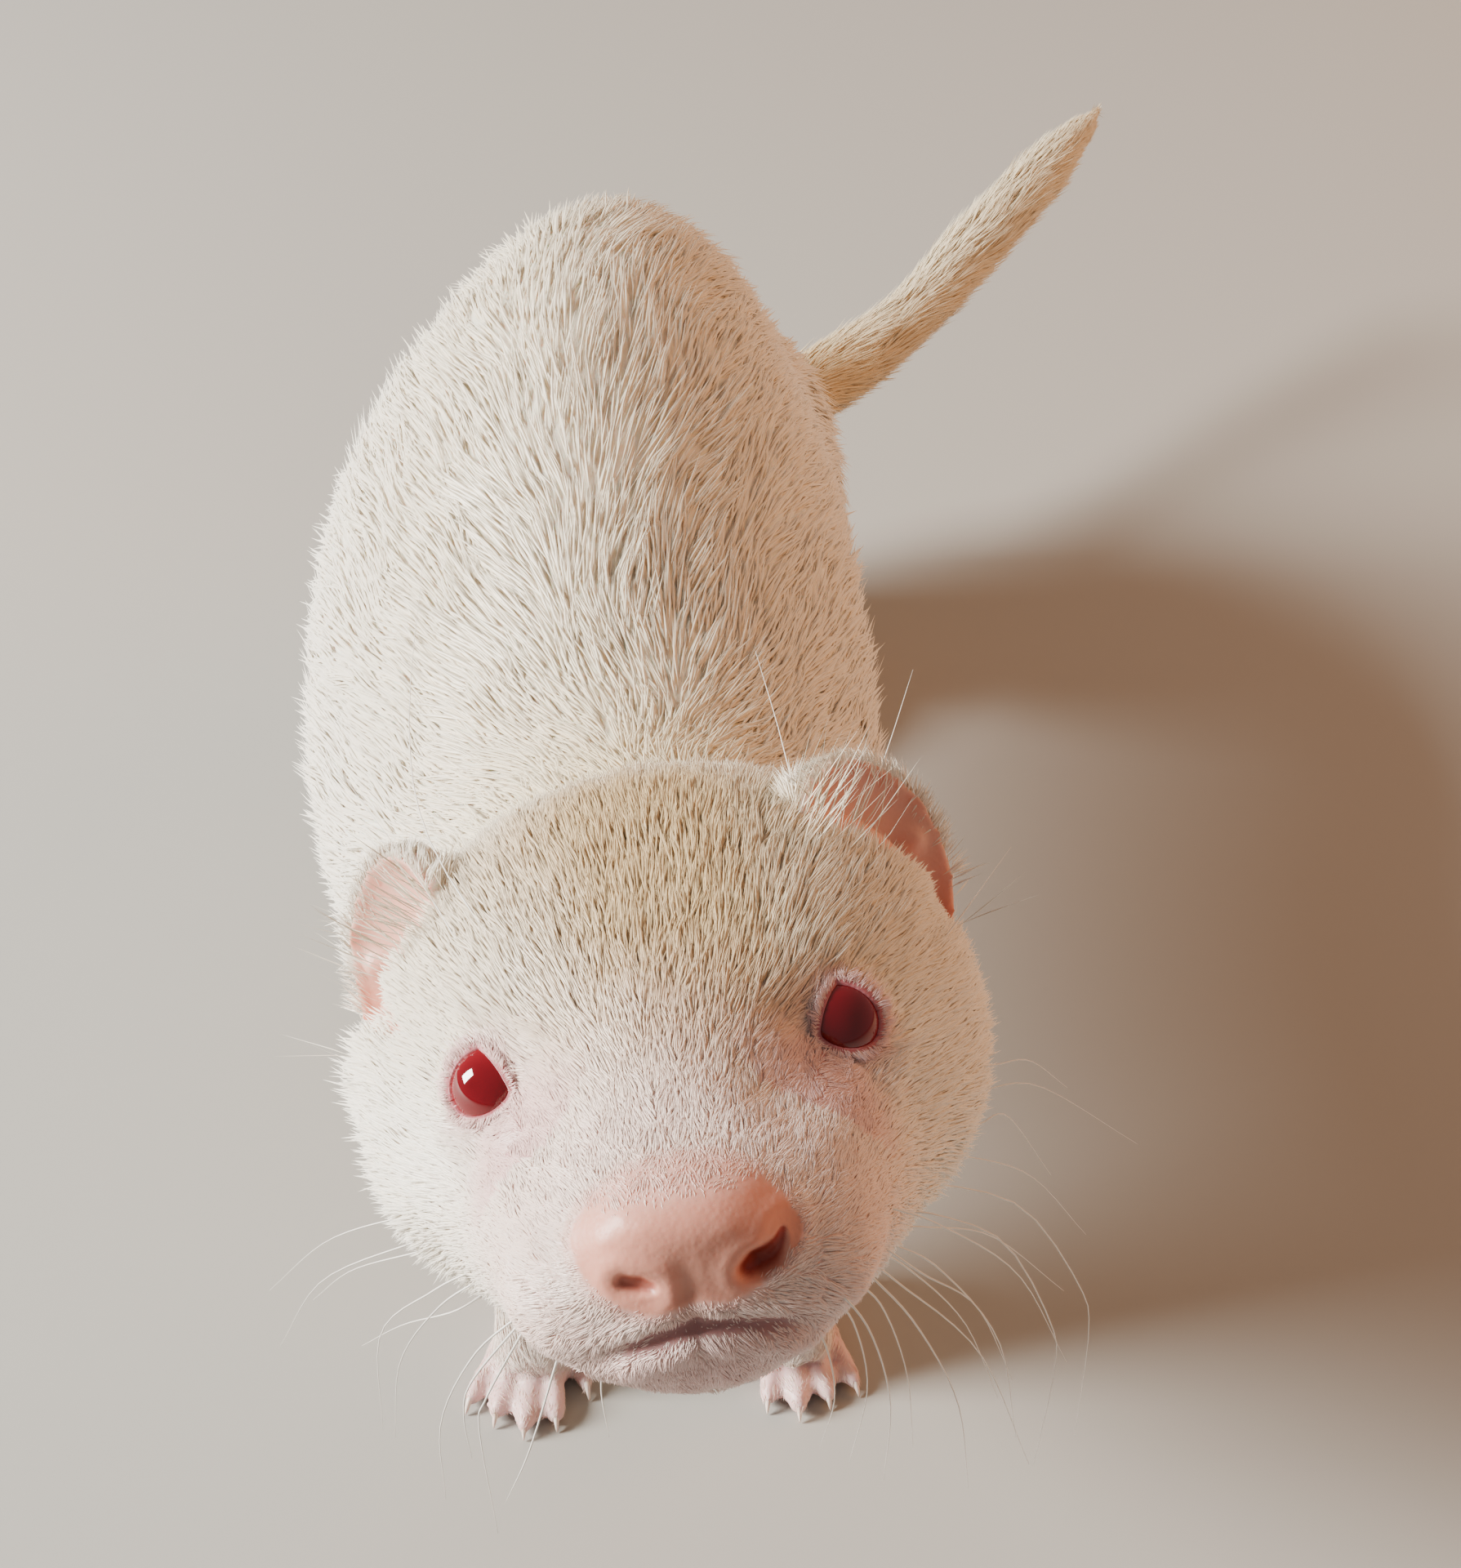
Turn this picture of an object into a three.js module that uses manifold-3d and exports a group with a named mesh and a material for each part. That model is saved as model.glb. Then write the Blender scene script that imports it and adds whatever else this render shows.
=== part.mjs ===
// A life-size white ferret standing on all fours, its head lifted to look up.
// Millimetres, +Z up, head towards -Y, the animal's left side on +X, floor at z = 0.
import * as THREE from 'three';
import { LoftGeometry } from 'three/addons/geometries/LoftGeometry.js';
import { mergeVertices } from 'three/addons/utils/BufferGeometryUtils.js';
import Module from 'manifold-3d';

const wasm = await Module();
wasm.setup();

// Driving sizes. Every outline is that of the coat's tips.
const GAP = 0.3;

// The head's own frame has its origin between the ears and -Y along the muzzle.
const HEAD_AT = [-4.7, -50, 127.5];
const HEAD_PITCH = 32;
const HEAD_ROLL = 9.8;
const HEAD_YAW = 0.9;

const EYE_RADIUS = 4.1;
const EYE_AT = [13.5, -13, 4.9];
const EYE_AXIS = [0.55, -0.77, 0.33];
const LID_THICK = 0.7;
const LID_OPENING = { halfWidth: 2.9, top: 3, bottom: -2.5 };

const NOSE_FRONT = -40.2;
const NOSE_HEIGHT = -3.4;
const NOSTRIL = { across: 4.5, height: -5, radius: 1.25, depth: 4.5 };

const EAR_HALF = [9.2, 4.6, 10.6];
const EAR_WALL = 1.2;
// The left ear is drawn in closer to the crown than the right one.
const EARS = {
  left: { side: 1, at: [20.4, 10.5, 14.2], lean: 34, turn: 42 },
  right: { side: -1, at: [22.8, 11.5, 12.5], lean: 22, turn: 48 },
};

const FOREPAW = { length: 24, width: 13.2, height: 10, toe: 8, toeRadius: 2.25, claw: 5.5 };
const HINDPAW = { length: 47, width: 15, height: 12, toe: 9, toeRadius: 2.5, claw: 5 };
const CLAW_RADIUS = 0.85;
const TOES = 5;
const TOE_FAN = 15;

const COAT = 0xece6da;
const COAT_CROWN = 0xd8cdb8;
const COAT_TAIL = 0xe3dccb;
const SKIN = 0xe2c9c3;
const NOSE_PINK = 0xd9a091;
const EAR_PINK = 0xd9a08c;
const EYE_RED = 0x8e1a28;

// Stations along the body, each with its widest point's place and its reach to the side, up and down.
const TRUNK = [
  { part: 'skull base', at: [-5, -37, 118], wide: 20, up: 18, down: 17 },
  { part: 'nape', at: [-5.5, -24, 110], wide: 26, up: 22, down: 21 },
  { part: 'throat', at: [-7, -8, 98], wide: 30, up: 26, down: 27 },
  { part: 'neck root', at: [-9, 8, 84], wide: 33.5, up: 31, down: 33 },
  { part: 'shoulders', at: [-11.5, 26, 71], wide: 37, up: 38, down: 32 },
  { part: 'chest', at: [-15, 47, 64], wide: 40, up: 42, down: 29 },
  { part: 'ribs', at: [-19, 71, 62], wide: 43, up: 46, down: 27 },
  { part: 'waist', at: [-21.5, 97, 62], wide: 44.5, up: 52, down: 25 },
  { part: 'loins', at: [-22.5, 122, 63], wide: 43.8, up: 54.5, down: 23 },
  { part: 'hips', at: [-20, 146, 62], wide: 39.5, up: 51, down: 22 },
  { part: 'croup', at: [-15.5, 168, 57], wide: 34.5, up: 42, down: 21 },
  { part: 'rump', at: [-8, 187, 49], wide: 31, up: 30, down: 19 },
  { part: 'tail head', at: [0, 200, 43], wide: 20, up: 18, down: 15 },
  { part: 'tail pit', at: [5, 207, 40], wide: 9, up: 8, down: 8 },
];
const NECK_END = 1;
const CHEST_END = 72;
const BELLY_END = 138;

const TAIL = [
  { part: 'root', at: [0, 194, 43], wide: 9, up: 8.5, down: 8.5 },
  { part: 'base', at: [15, 212, 41.5], wide: 8.2, up: 7.8, down: 7.8 },
  { part: 'first third', at: [33, 232, 43.5], wide: 7.2, up: 6.9, down: 6.9 },
  { part: 'middle', at: [51, 256, 50], wide: 6.7, up: 6.5, down: 6.5 },
  { part: 'last third', at: [66, 276, 56.5], wide: 6, up: 5.8, down: 5.8 },
  { part: 'end', at: [75, 288.5, 60], wide: 3.8, up: 3.6, down: 3.6 },
  { part: 'tip', at: [80, 295.5, 62], wide: 0.7, up: 0.7, down: 0.7 },
];
const TAIL_PARTING = 248;

// Each side's leg runs from inside the body to the ankle; up is its back, down its front.
const FORELEG = [
  { part: 'shoulder blade', at: [15, 36, 80], wide: 8, up: 14, down: 13 },
  { part: 'shoulder point', at: [21, 27, 60], wide: 12, up: 17, down: 18 },
  { part: 'elbow', at: [21.5, 26, 42], wide: 12, up: 13, down: 14 },
  { part: 'forearm', at: [19.5, 20, 26], wide: 10, up: 9.6, down: 9.6 },
  { part: 'wrist', at: [17.6, 14.5, 13.5], wide: 8, up: 7.4, down: 7 },
  { part: 'hand', at: [17.5, 12, 5], wide: 6.6, up: 6, down: 5.5 },
];
const HINDLEG = [
  { part: 'hip', at: [10, -12, 80], wide: 7, up: 7, down: 14 },
  { part: 'thigh', at: [22, -10, 61], wide: 14.5, up: 23, down: 25 },
  { part: 'knee', at: [27, -7, 40], wide: 13, up: 23, down: 21 },
  { part: 'shank', at: [27, 4, 23], wide: 10.5, up: 15, down: 14 },
  { part: 'hock', at: [26, 13, 12], wide: 8, up: 9, down: 10 },
  { part: 'heel', at: [26, 15, 4], wide: 6, up: 6, down: 7 },
];
const FORELEGS_AT = [-9.5, 0, 0];
const HINDLEGS_AT = [-15, 172, 0];
const HINDLEGS_TURN = -20;
const FOREPAW_TOE_LINE = { left: 3, right: 0 };
const FOREPAW_TURN = 4;
const WRIST_HEIGHT = 12;
const HIND_HEEL_BACK = 21;
const HINDPAW_TURN = 5;
const HOCK_HEIGHT = 13;

// Stations of the head in its own frame.
const HEAD = [
  { part: 'nose bed', at: [0, -37.3, -4.5], wide: 6.6, up: 4.4, down: 5 },
  { part: 'lip', at: [0, -35.6, -5], wide: 10.8, up: 8.2, down: 7.8 },
  { part: 'whisker pads', at: [0, -32, -6], wide: 13.8, up: 11.2, down: 10 },
  { part: 'muzzle', at: [0, -27, -6.5], wide: 16, up: 13.6, down: 11.6 },
  { part: 'stop', at: [0, -21, -6.5], wide: 18.4, up: 16.4, down: 13.4 },
  { part: 'eyes', at: [0, -14, -5.5], wide: 21.6, up: 19.6, down: 15 },
  { part: 'brow', at: [0, -6, -4.5], wide: 25.4, up: 23, down: 16.8 },
  { part: 'cheeks', at: [0, 3, -3], wide: 28.8, up: 25.8, down: 18.8 },
  { part: 'ears', at: [0, 13, -1.5], wide: 29.6, up: 26.8, down: 20.8 },
  { part: 'occiput', at: [0, 24, -1], wide: 27.8, up: 25.6, down: 22 },
  { part: 'skull base', at: [0, 33, -0.5], wide: 23, up: 21.5, down: 20 },
  { part: 'inside neck', at: [0, 38, -0.5], wide: 15, up: 14, down: 14 },
];

// Soft forms pushed into or out of the head, on both sides.
const HEAD_FORMS = [
  { part: 'eye hollow', at: [17, -17, 6], push: [-1.4, 1.5, -0.7], reach: 6 },
  { part: 'side of the bridge', at: [9.5, -23, 7], push: [-1.2, 0.6, -0.9], reach: 5 },
  { part: 'brow ridge', at: [14.5, -11, 13], push: [0.7, -0.8, 0.5], reach: 5 },
  { part: 'cheek', at: [25, -3, -9], push: [1.6, -1.4, -0.4], reach: 9 },
  { part: 'whisker pad', at: [11, -32.5, -8], push: [1.3, -0.9, -0.2], reach: 5 },
  { part: 'side of the jaw', at: [12.5, -27, -16], push: [-2, 0.3, 0.4], reach: 5 },
  { part: 'chin', at: [2, -29, -17.5], push: [0, -0.9, -0.5], reach: 5 },
];

// The mouth's line from the side, and how far it drops beside the middle.
const MOUTH_LINE = [
  [-46, -10.2], [-37, -10.6], [-31, -12.4], [-25, -13.4], [-19, -12.6],
  [-15.5, -14], [-12, -19], [-9, -32],
];
const MOUTH_DROP = 1.6;
const MOUTH_GAP = 0.45;

// Helpers

const rad = (degrees) => THREE.MathUtils.degToRad(degrees);
const vector = (list) => new THREE.Vector3(...list);

function toSolid(geometry) {
  geometry.deleteAttribute('normal');
  geometry.deleteAttribute('uv');
  const merged = mergeVertices(geometry, 1e-4);
  return new wasm.Manifold(new wasm.Mesh({
    numProp: 3,
    vertProperties: new Float32Array(merged.attributes.position.array),
    triVerts: new Uint32Array(merged.index.array),
  }));
}

function toGeometry(solid) {
  const largest = solid.decompose().sort((a, b) => b.volume() - a.volume())[0];
  const mesh = largest.getMesh();
  const geometry = new THREE.BufferGeometry();
  geometry.setAttribute('position', new THREE.BufferAttribute(mesh.vertProperties, 3));
  geometry.setIndex(new THREE.BufferAttribute(mesh.triVerts, 1));
  geometry.computeVertexNormals();
  return geometry;
}

function placed(geometry, at, turn = new THREE.Euler()) {
  const matrix = new THREE.Matrix4().makeRotationFromEuler(turn);
  matrix.setPosition(...at);
  return geometry.applyMatrix4(matrix);
}

function closedLoft(sections) {
  const lofted = new LoftGeometry(sections, { capStart: true, capEnd: true });
  return new THREE.BufferGeometry().copy(lofted);
}

// A closed form through stations, with the side of every section kept level and `grow` added all round.
// A section is an ellipse squared off by `square`, or by `crest` in its upper half; `taper` widens its top.
function loft(stations, { steps, sides, square = 2.2, crest = square, taper = 0, grow = 0 }) {
  const path = new THREE.CatmullRomCurve3(stations.map((s) => vector(s.at)));
  const sizes = new THREE.CatmullRomCurve3(stations.map((s) => vector([s.wide, s.up, s.down])));
  const across = new THREE.Vector3(1, 0, 0);
  const sections = [];
  for (let i = 0; i <= steps; i++) {
    const t = i / steps;
    const centre = path.getPoint(t);
    const along = path.getTangent(t);
    const side = across.clone().addScaledVector(along, -across.dot(along)).normalize();
    const rise = side.clone().cross(along);
    const size = sizes.getPoint(t);
    centre.addScaledVector(along, grow * (2 * t - 1));
    const ring = [];
    for (let k = 0; k < sides; k++) {
      const angle = (-2 * Math.PI * k) / sides;
      const c = Math.cos(angle);
      const s = Math.sin(angle);
      const bulge = s > 0 ? crest : square;
      const flat = (v) => Math.sign(v) * Math.abs(v) ** (2 / bulge);
      const height = (s > 0 ? size.y : size.z) + grow;
      const width = (size.x + grow) * (1 + taper * s);
      const out = side.clone().multiplyScalar(flat(c) * width).addScaledVector(rise, flat(s) * height);
      ring.push(out.add(centre));
    }
    sections.push(ring);
  }
  return closedLoft(sections);
}

// Pushes the surface in soft rounds, mirrored to the other side.
function withForms(geometry, forms) {
  const position = geometry.attributes.position;
  const point = new THREE.Vector3();
  for (let i = 0; i < position.count; i++) {
    point.fromBufferAttribute(position, i);
    const moved = point.clone();
    for (const form of forms) {
      for (const side of [1, -1]) {
        const centre = new THREE.Vector3(side * form.at[0], form.at[1], form.at[2]);
        const weight = Math.exp(-point.distanceToSquared(centre) / form.reach ** 2);
        const push = new THREE.Vector3(side * form.push[0], form.push[1], form.push[2]);
        moved.addScaledVector(push, weight);
      }
    }
    position.setXYZ(i, moved.x, moved.y, moved.z);
  }
  return geometry;
}

function mirrored(stations, side) {
  return stations.map((s) => ({ ...s, at: [side * s.at[0], s.at[1], s.at[2]] }));
}

function ellipsoid(half) {
  return new THREE.SphereGeometry(1, 18, 12).scale(...half);
}

function slab(yFrom, yTo) {
  const size = 600;
  return toSolid(new THREE.BoxGeometry(size, yTo - yFrom, size).translate(0, (yFrom + yTo) / 2, 0));
}

const aboveFloor = toSolid(new THREE.BoxGeometry(800, 800, 400).translate(0, 100, 200));

// Materials

function coatMaterial(color) {
  return new THREE.MeshStandardMaterial({ color, roughness: 0.9, metalness: 0 });
}

function skinMaterial(color) {
  return new THREE.MeshStandardMaterial({ color, roughness: 0.55, metalness: 0 });
}

function eyeMaterial() {
  return new THREE.MeshStandardMaterial({ color: EYE_RED, roughness: 0.05, metalness: 0 });
}

function mesh(name, solid, material) {
  const piece = new THREE.Mesh(toGeometry(solid), material);
  piece.name = name;
  return piece;
}

// Head, in its own frame

function headCore(grow) {
  return toSolid(withForms(loft(HEAD, { steps: 33, sides: 32, grow }), HEAD_FORMS));
}

function mouthSheet() {
  const curve = new THREE.CatmullRomCurve3(MOUTH_LINE.map(([y, z]) => new THREE.Vector3(0, y, z)));
  const steps = 16;
  const columns = 14;
  const reach = 34;
  const sections = [];
  for (let j = 0; j <= columns; j++) {
    const x = -reach + (2 * reach * j) / columns;
    const drop = MOUTH_DROP * (1 - Math.exp(-((x / 5) ** 2)));
    const upper = [];
    const lower = [];
    for (let i = 0; i <= steps; i++) {
      const point = curve.getPoint(i / steps);
      const along = curve.getTangent(i / steps);
      const away = new THREE.Vector3(0, -along.z, along.y).multiplyScalar(MOUTH_GAP / 2);
      const front = 1 - i / steps;
      const centre = new THREE.Vector3(x, point.y, point.z - drop * front);
      lower.push(centre.clone().sub(away));
      upper.unshift(centre.clone().add(away));
    }
    sections.push([...lower, ...upper]);
  }
  return toSolid(closedLoft(sections));
}

function eyePlace(side) {
  const axis = new THREE.Vector3(side * EYE_AXIS[0], EYE_AXIS[1], EYE_AXIS[2]).normalize();
  const centre = new THREE.Vector3(side * EYE_AT[0], EYE_AT[1], EYE_AT[2]);
  return { axis, centre };
}

function eyeball(side, radius) {
  const { axis, centre } = eyePlace(side);
  const turn = new THREE.Quaternion().setFromUnitVectors(new THREE.Vector3(0, 1, 0), axis);
  const geometry = new THREE.SphereGeometry(radius, 16, 10).applyQuaternion(turn);
  return toSolid(geometry.translate(centre.x, centre.y, centre.z));
}

// The opening between the lids is a rounded triangle with its apex up, cut square to the eyeball.
function lidOpening(side) {
  const { axis, centre } = eyePlace(side);
  const { halfWidth, top, bottom } = LID_OPENING;
  const outline = new THREE.CatmullRomCurve3([
    new THREE.Vector3(-halfWidth, bottom * 0.75, 0),
    new THREE.Vector3(0, bottom, 0),
    new THREE.Vector3(halfWidth, bottom * 0.75, 0),
    new THREE.Vector3(halfWidth * 0.62, top * 0.45, 0),
    new THREE.Vector3(0, top, 0),
    new THREE.Vector3(-halfWidth * 0.62, top * 0.45, 0),
  ], true).getPoints(15).slice(0, -1);
  const right = new THREE.Vector3(0, 0, 1).cross(axis).normalize();
  const rise = axis.clone().cross(right);
  const frame = new THREE.Matrix4().makeBasis(right, rise, axis).setPosition(centre);
  const sections = [0.2, 3].map((spread) => outline.map((p) => {
    return new THREE.Vector3(p.x * spread, p.y * spread, EYE_RADIUS * spread * 0.8).applyMatrix4(frame);
  }));
  return toSolid(closedLoft(sections));
}

function nosePad(grow) {
  const stations = [
    { at: [0, -31, NOSE_HEIGHT + 1.2], wide: 5.6, up: 4.6, down: 4.6 },
    { at: [0, -33.5, NOSE_HEIGHT + 0.7], wide: 7, up: 5.6, down: 5.4 },
    { at: [0, -36, NOSE_HEIGHT + 0.2], wide: 7.8, up: 5.6, down: 6 },
    { at: [0, -38, NOSE_HEIGHT], wide: 7.5, up: 4.9, down: 5.7 },
    { at: [0, -39.5, NOSE_HEIGHT - 0.2], wide: 5.9, up: 3.6, down: 4.6 },
    { at: [0, NOSE_FRONT, NOSE_HEIGHT - 0.5], wide: 3, up: 1.6, down: 2.4 },
  ];
  return toSolid(loft(stations.reverse(), { steps: 11, sides: 22, square: 2.25, taper: 0.14, grow }));
}

// A nostril opens forwards and its slit curls up and out.
function nostril(side) {
  const { across, height, radius, depth } = NOSTRIL;
  const hole = new THREE.CatmullRomCurve3([
    new THREE.Vector3(side * (across - 1.6), NOSE_FRONT + depth, height + 1),
    new THREE.Vector3(side * across, NOSE_FRONT + 0.9, height - 0.2),
    new THREE.Vector3(side * (across + 1), NOSE_FRONT - 2, height - 0.6),
  ]);
  const slit = new THREE.CatmullRomCurve3([
    new THREE.Vector3(side * across, NOSE_FRONT + 0.6, height - 0.4),
    new THREE.Vector3(side * (across + 2), NOSE_FRONT + 1.2, height),
    new THREE.Vector3(side * (across + 3.4), NOSE_FRONT + 2.6, height + 1.5),
  ]);
  const round = (size) => new THREE.Shape().absarc(0, 0, size, 0, 2 * Math.PI);
  const tube = (path, size) => toSolid(new THREE.ExtrudeGeometry(round(size), {
    steps: 4, curveSegments: 4, bevelEnabled: false, extrudePath: path,
  }));
  return tube(hole, radius).add(tube(slit, 0.5));
}

function philtrum() {
  const groove = new THREE.BoxGeometry(0.55, 3, 9).rotateX(rad(12));
  return toSolid(groove.translate(0, NOSE_FRONT + 1.1, NOSE_HEIGHT - 6.6));
}

// The ear is a low round cup, open forwards and outwards.
function earCup(ear) {
  const { side } = ear;
  const at = [side * ear.at[0], ear.at[1], ear.at[2]];
  const turn = new THREE.Euler(0, -side * rad(ear.lean), side * rad(ear.turn), 'ZYX');
  const inner = EAR_HALF.map((half, axis) => (axis === 1 ? half : half - EAR_WALL));
  const outerShape = placed(ellipsoid(EAR_HALF), at, turn);
  const innerShape = placed(ellipsoid(inner).translate(side * 0.6, -1.7, 0), at, turn);
  return toSolid(outerShape).subtract(toSolid(innerShape));
}

function makeHead() {
  let flesh = headCore(0);
  for (const side of [1, -1]) {
    flesh = flesh.add(eyeball(side, EYE_RADIUS + GAP + LID_THICK));
  }
  flesh = flesh.subtract(nosePad(GAP)).subtract(philtrum());
  for (const side of [1, -1]) {
    flesh = flesh.subtract(eyeball(side, EYE_RADIUS + GAP)).subtract(lidOpening(side));
  }
  const [skull, jaw] = flesh.subtract(mouthSheet()).decompose().sort((a, b) => b.volume() - a.volume());
  const nose = [1, -1].reduce((pad, side) => pad.subtract(nostril(side)), nosePad(0).subtract(philtrum()));

  const head = new THREE.Group();
  head.position.set(...HEAD_AT);
  head.rotation.set(rad(-HEAD_PITCH), rad(-HEAD_ROLL), rad(HEAD_YAW), 'ZXY');
  head.add(mesh('head', skull, coatMaterial(COAT_CROWN)));
  head.add(mesh('lower_jaw', jaw, coatMaterial(COAT)));
  head.add(mesh('nose', nose, skinMaterial(NOSE_PINK)));
  for (const [name, ear] of Object.entries(EARS)) {
    const { side } = ear;
    const cup = earCup(ear).subtract(headCore(GAP));
    head.add(mesh(`ear_${name}`, cup, skinMaterial(EAR_PINK)));
    head.add(mesh(`eye_${name}`, eyeball(side, EYE_RADIUS), eyeMaterial()));
  }
  head.updateMatrixWorld(true);
  return head;
}

// Body and tail

function trunkCore(grow) {
  return toSolid(loft(TRUNK, { steps: 36, sides: 30, square: 2.3, crest: 1.6, grow }));
}

function tailCore(grow) {
  return toSolid(loft(TAIL, { steps: 18, sides: 14, square: 2, grow }));
}

function makeBody(headSolid) {
  const trunk = trunkCore(0).subtract(headSolid);
  const cuts = [-200, NECK_END, CHEST_END, BELLY_END, 400];
  const names = ['neck', 'chest', 'belly', 'rump'];
  return names.map((name, i) => {
    const piece = trunk.intersect(slab(cuts[i] + GAP / 2, cuts[i + 1] - GAP / 2));
    return mesh(name, piece, coatMaterial(COAT));
  });
}

function makeTail(trunkGrown) {
  const whole = tailCore(0).subtract(trunkGrown);
  const base = whole.intersect(slab(0, TAIL_PARTING - GAP / 2));
  const tip = whole.intersect(slab(TAIL_PARTING + GAP / 2, 500));
  return [
    mesh('tail_base', base, coatMaterial(COAT_TAIL)),
    mesh('tail_tip', tip, coatMaterial(COAT_TAIL)),
  ];
}

// Legs and feet

// A foot points to -Y from its heel at the origin.
function palm(size) {
  const tall = size.height;
  const half = size.width / 2;
  const end = -(size.length - size.toe);
  const section = (y, z, wide, up, down) => ({
    at: [0, y, z * tall], wide: wide * half, up: up * tall, down: down * tall,
  });
  const stations = [
    section(1, 0.42, 0.5, 0.36, 0.5),
    section(-3, 0.45, 0.74, 0.52, 0.6),
    section(end * 0.6, 0.4, 0.84, 0.48, 0.6),
    section(end, 0.3, 0.9, 0.34, 0.5),
    section(end - 3, 0.22, 0.7, 0.2, 0.4),
  ];
  return toSolid(loft(stations, { steps: 6, sides: 12, square: 2.4 }));
}

// A toe runs ahead of its root, with its claw curving down from its end.
function toe(root, ahead, radius, length, clawLength) {
  const section = (distance, z, unit, wide, up, down) => ({
    at: root.clone().addScaledVector(ahead, distance).setZ(z).toArray(),
    wide: wide * unit, up: up * unit, down: down * unit,
  });
  const flesh = [
    section(-4, radius * 1.1, radius, 0.8, 0.9, 1.2),
    section(0, radius * 1.15, radius, 0.95, 1.2, 1.4),
    section(length * 0.5, radius * 1.05, radius, 0.92, 1.05, 1.35),
    section(length * 0.88, radius * 0.8, radius, 0.85, 0.8, 1.1),
    section(length * 1.02, radius * 0.7, radius, 0.35, 0.35, 0.4),
  ];
  const clawRoot = length * 0.75;
  const claw = [
    section(clawRoot, radius * 1.15, CLAW_RADIUS, 0.8, 1.1, 1),
    section(clawRoot + clawLength * 0.5, radius * 1.1, CLAW_RADIUS, 0.7, 1, 1),
    section(clawRoot + clawLength * 0.85, radius * 0.65, CLAW_RADIUS, 0.45, 0.6, 0.6),
    section(clawRoot + clawLength * 1.1, 0.45, CLAW_RADIUS, 0.16, 0.16, 0.16),
  ];
  return toSolid(loft(flesh, { steps: 4, sides: 6 })).add(toSolid(loft(claw, { steps: 3, sides: 5 })));
}

// The inner toe is the shortest and sits furthest back.
function foot(size, side) {
  const half = size.width / 2;
  const toeLine = -(size.length - size.toe);
  const middle = (TOES - 1) / 2;
  let whole = palm(size);
  for (let i = 0; i < TOES; i++) {
    const spread = (i - middle) / middle;
    const inner = i === 0 ? 1 : 0;
    const aside = Math.abs(spread);
    const root = new THREE.Vector3(side * spread * half * 0.74, toeLine + aside * 2.2 + inner * 2.5, 0);
    const fan = side * spread * rad(TOE_FAN);
    const ahead = new THREE.Vector3(Math.sin(fan), -Math.cos(fan), 0);
    const radius = size.toeRadius * (1 - 0.12 * aside);
    const length = size.toe * (1 - 0.1 * aside - 0.12 * inner);
    whole = whole.add(toe(root, ahead, radius, length, size.claw));
  }
  return whole;
}

function turned(solid, at, turnZ) {
  return solid.rotate([0, 0, turnZ]).translate(at);
}

// Parts a limb level with the floor, at the ankle.
function partedAt(limb, height) {
  const size = 900;
  const upper = toSolid(new THREE.BoxGeometry(size, size, size).translate(0, 0, height + size / 2));
  return { upper: limb.intersect(upper), lower: limb.intersect(upper.translate([0, 0, -size - GAP])) };
}

function makeForelimb(name, side, trunkGrown) {
  const ankle = FORELEG[FORELEG.length - 1].at;
  const leg = toSolid(loft(mirrored(FORELEG, side), { steps: 11, sides: 14 }));
  const pawAt = [side * ankle[0], FOREPAW_TOE_LINE[name] + FOREPAW.length, 0];
  const paw = turned(foot(FOREPAW, side), pawAt, side * FOREPAW_TURN);
  const limb = leg.add(paw).translate(FORELEGS_AT).intersect(aboveFloor).subtract(trunkGrown);
  const { upper, lower } = partedAt(limb, WRIST_HEIGHT);
  return [
    mesh(`foreleg_${name}`, upper, coatMaterial(COAT)),
    mesh(`forepaw_${name}`, lower, skinMaterial(SKIN)),
  ];
}

function makeHindlimb(name, side, trunkGrown) {
  const ankle = HINDLEG[HINDLEG.length - 1].at;
  const leg = toSolid(loft(mirrored(HINDLEG, side), { steps: 12, sides: 16 }));
  const paw = turned(foot(HINDPAW, side), [side * ankle[0], HIND_HEEL_BACK, 0], side * HINDPAW_TURN);
  const limb = turned(leg.add(paw), HINDLEGS_AT, HINDLEGS_TURN).intersect(aboveFloor).subtract(trunkGrown);
  const { upper, lower } = partedAt(limb, HOCK_HEIGHT);
  return [
    mesh(`hindleg_${name}`, upper, coatMaterial(COAT)),
    mesh(`hindfoot_${name}`, lower, skinMaterial(SKIN)),
  ];
}

// The whole ferret, set with its box centred over the origin

function makeFerret() {
  const ferret = new THREE.Group();
  const head = makeHead();
  const headSolid = headCore(GAP).transform(head.matrixWorld.elements);
  const trunkGrown = trunkCore(GAP);
  ferret.add(head, ...makeBody(headSolid), ...makeTail(trunkGrown));
  for (const [name, side] of [['left', 1], ['right', -1]]) {
    ferret.add(...makeForelimb(name, side, trunkGrown), ...makeHindlimb(name, side, trunkGrown));
  }
  const box = new THREE.Box3().setFromObject(ferret, true);
  const centre = box.getCenter(new THREE.Vector3());
  ferret.position.set(-centre.x, -centre.y, -box.min.z);
  return ferret;
}

const ferret = makeFerret();
export default ferret;
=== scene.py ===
"""Looks of the life-size white ferret: skin, coat, eyes, claws, whiskers, and the studio round it.

Shapes are worked out in millimetres and turned to metres where a mesh is made.
"""
import math

import bmesh
import bpy
import numpy as np
from mathutils import Matrix, Vector, noise
from mathutils.bvhtree import BVHTree


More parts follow.
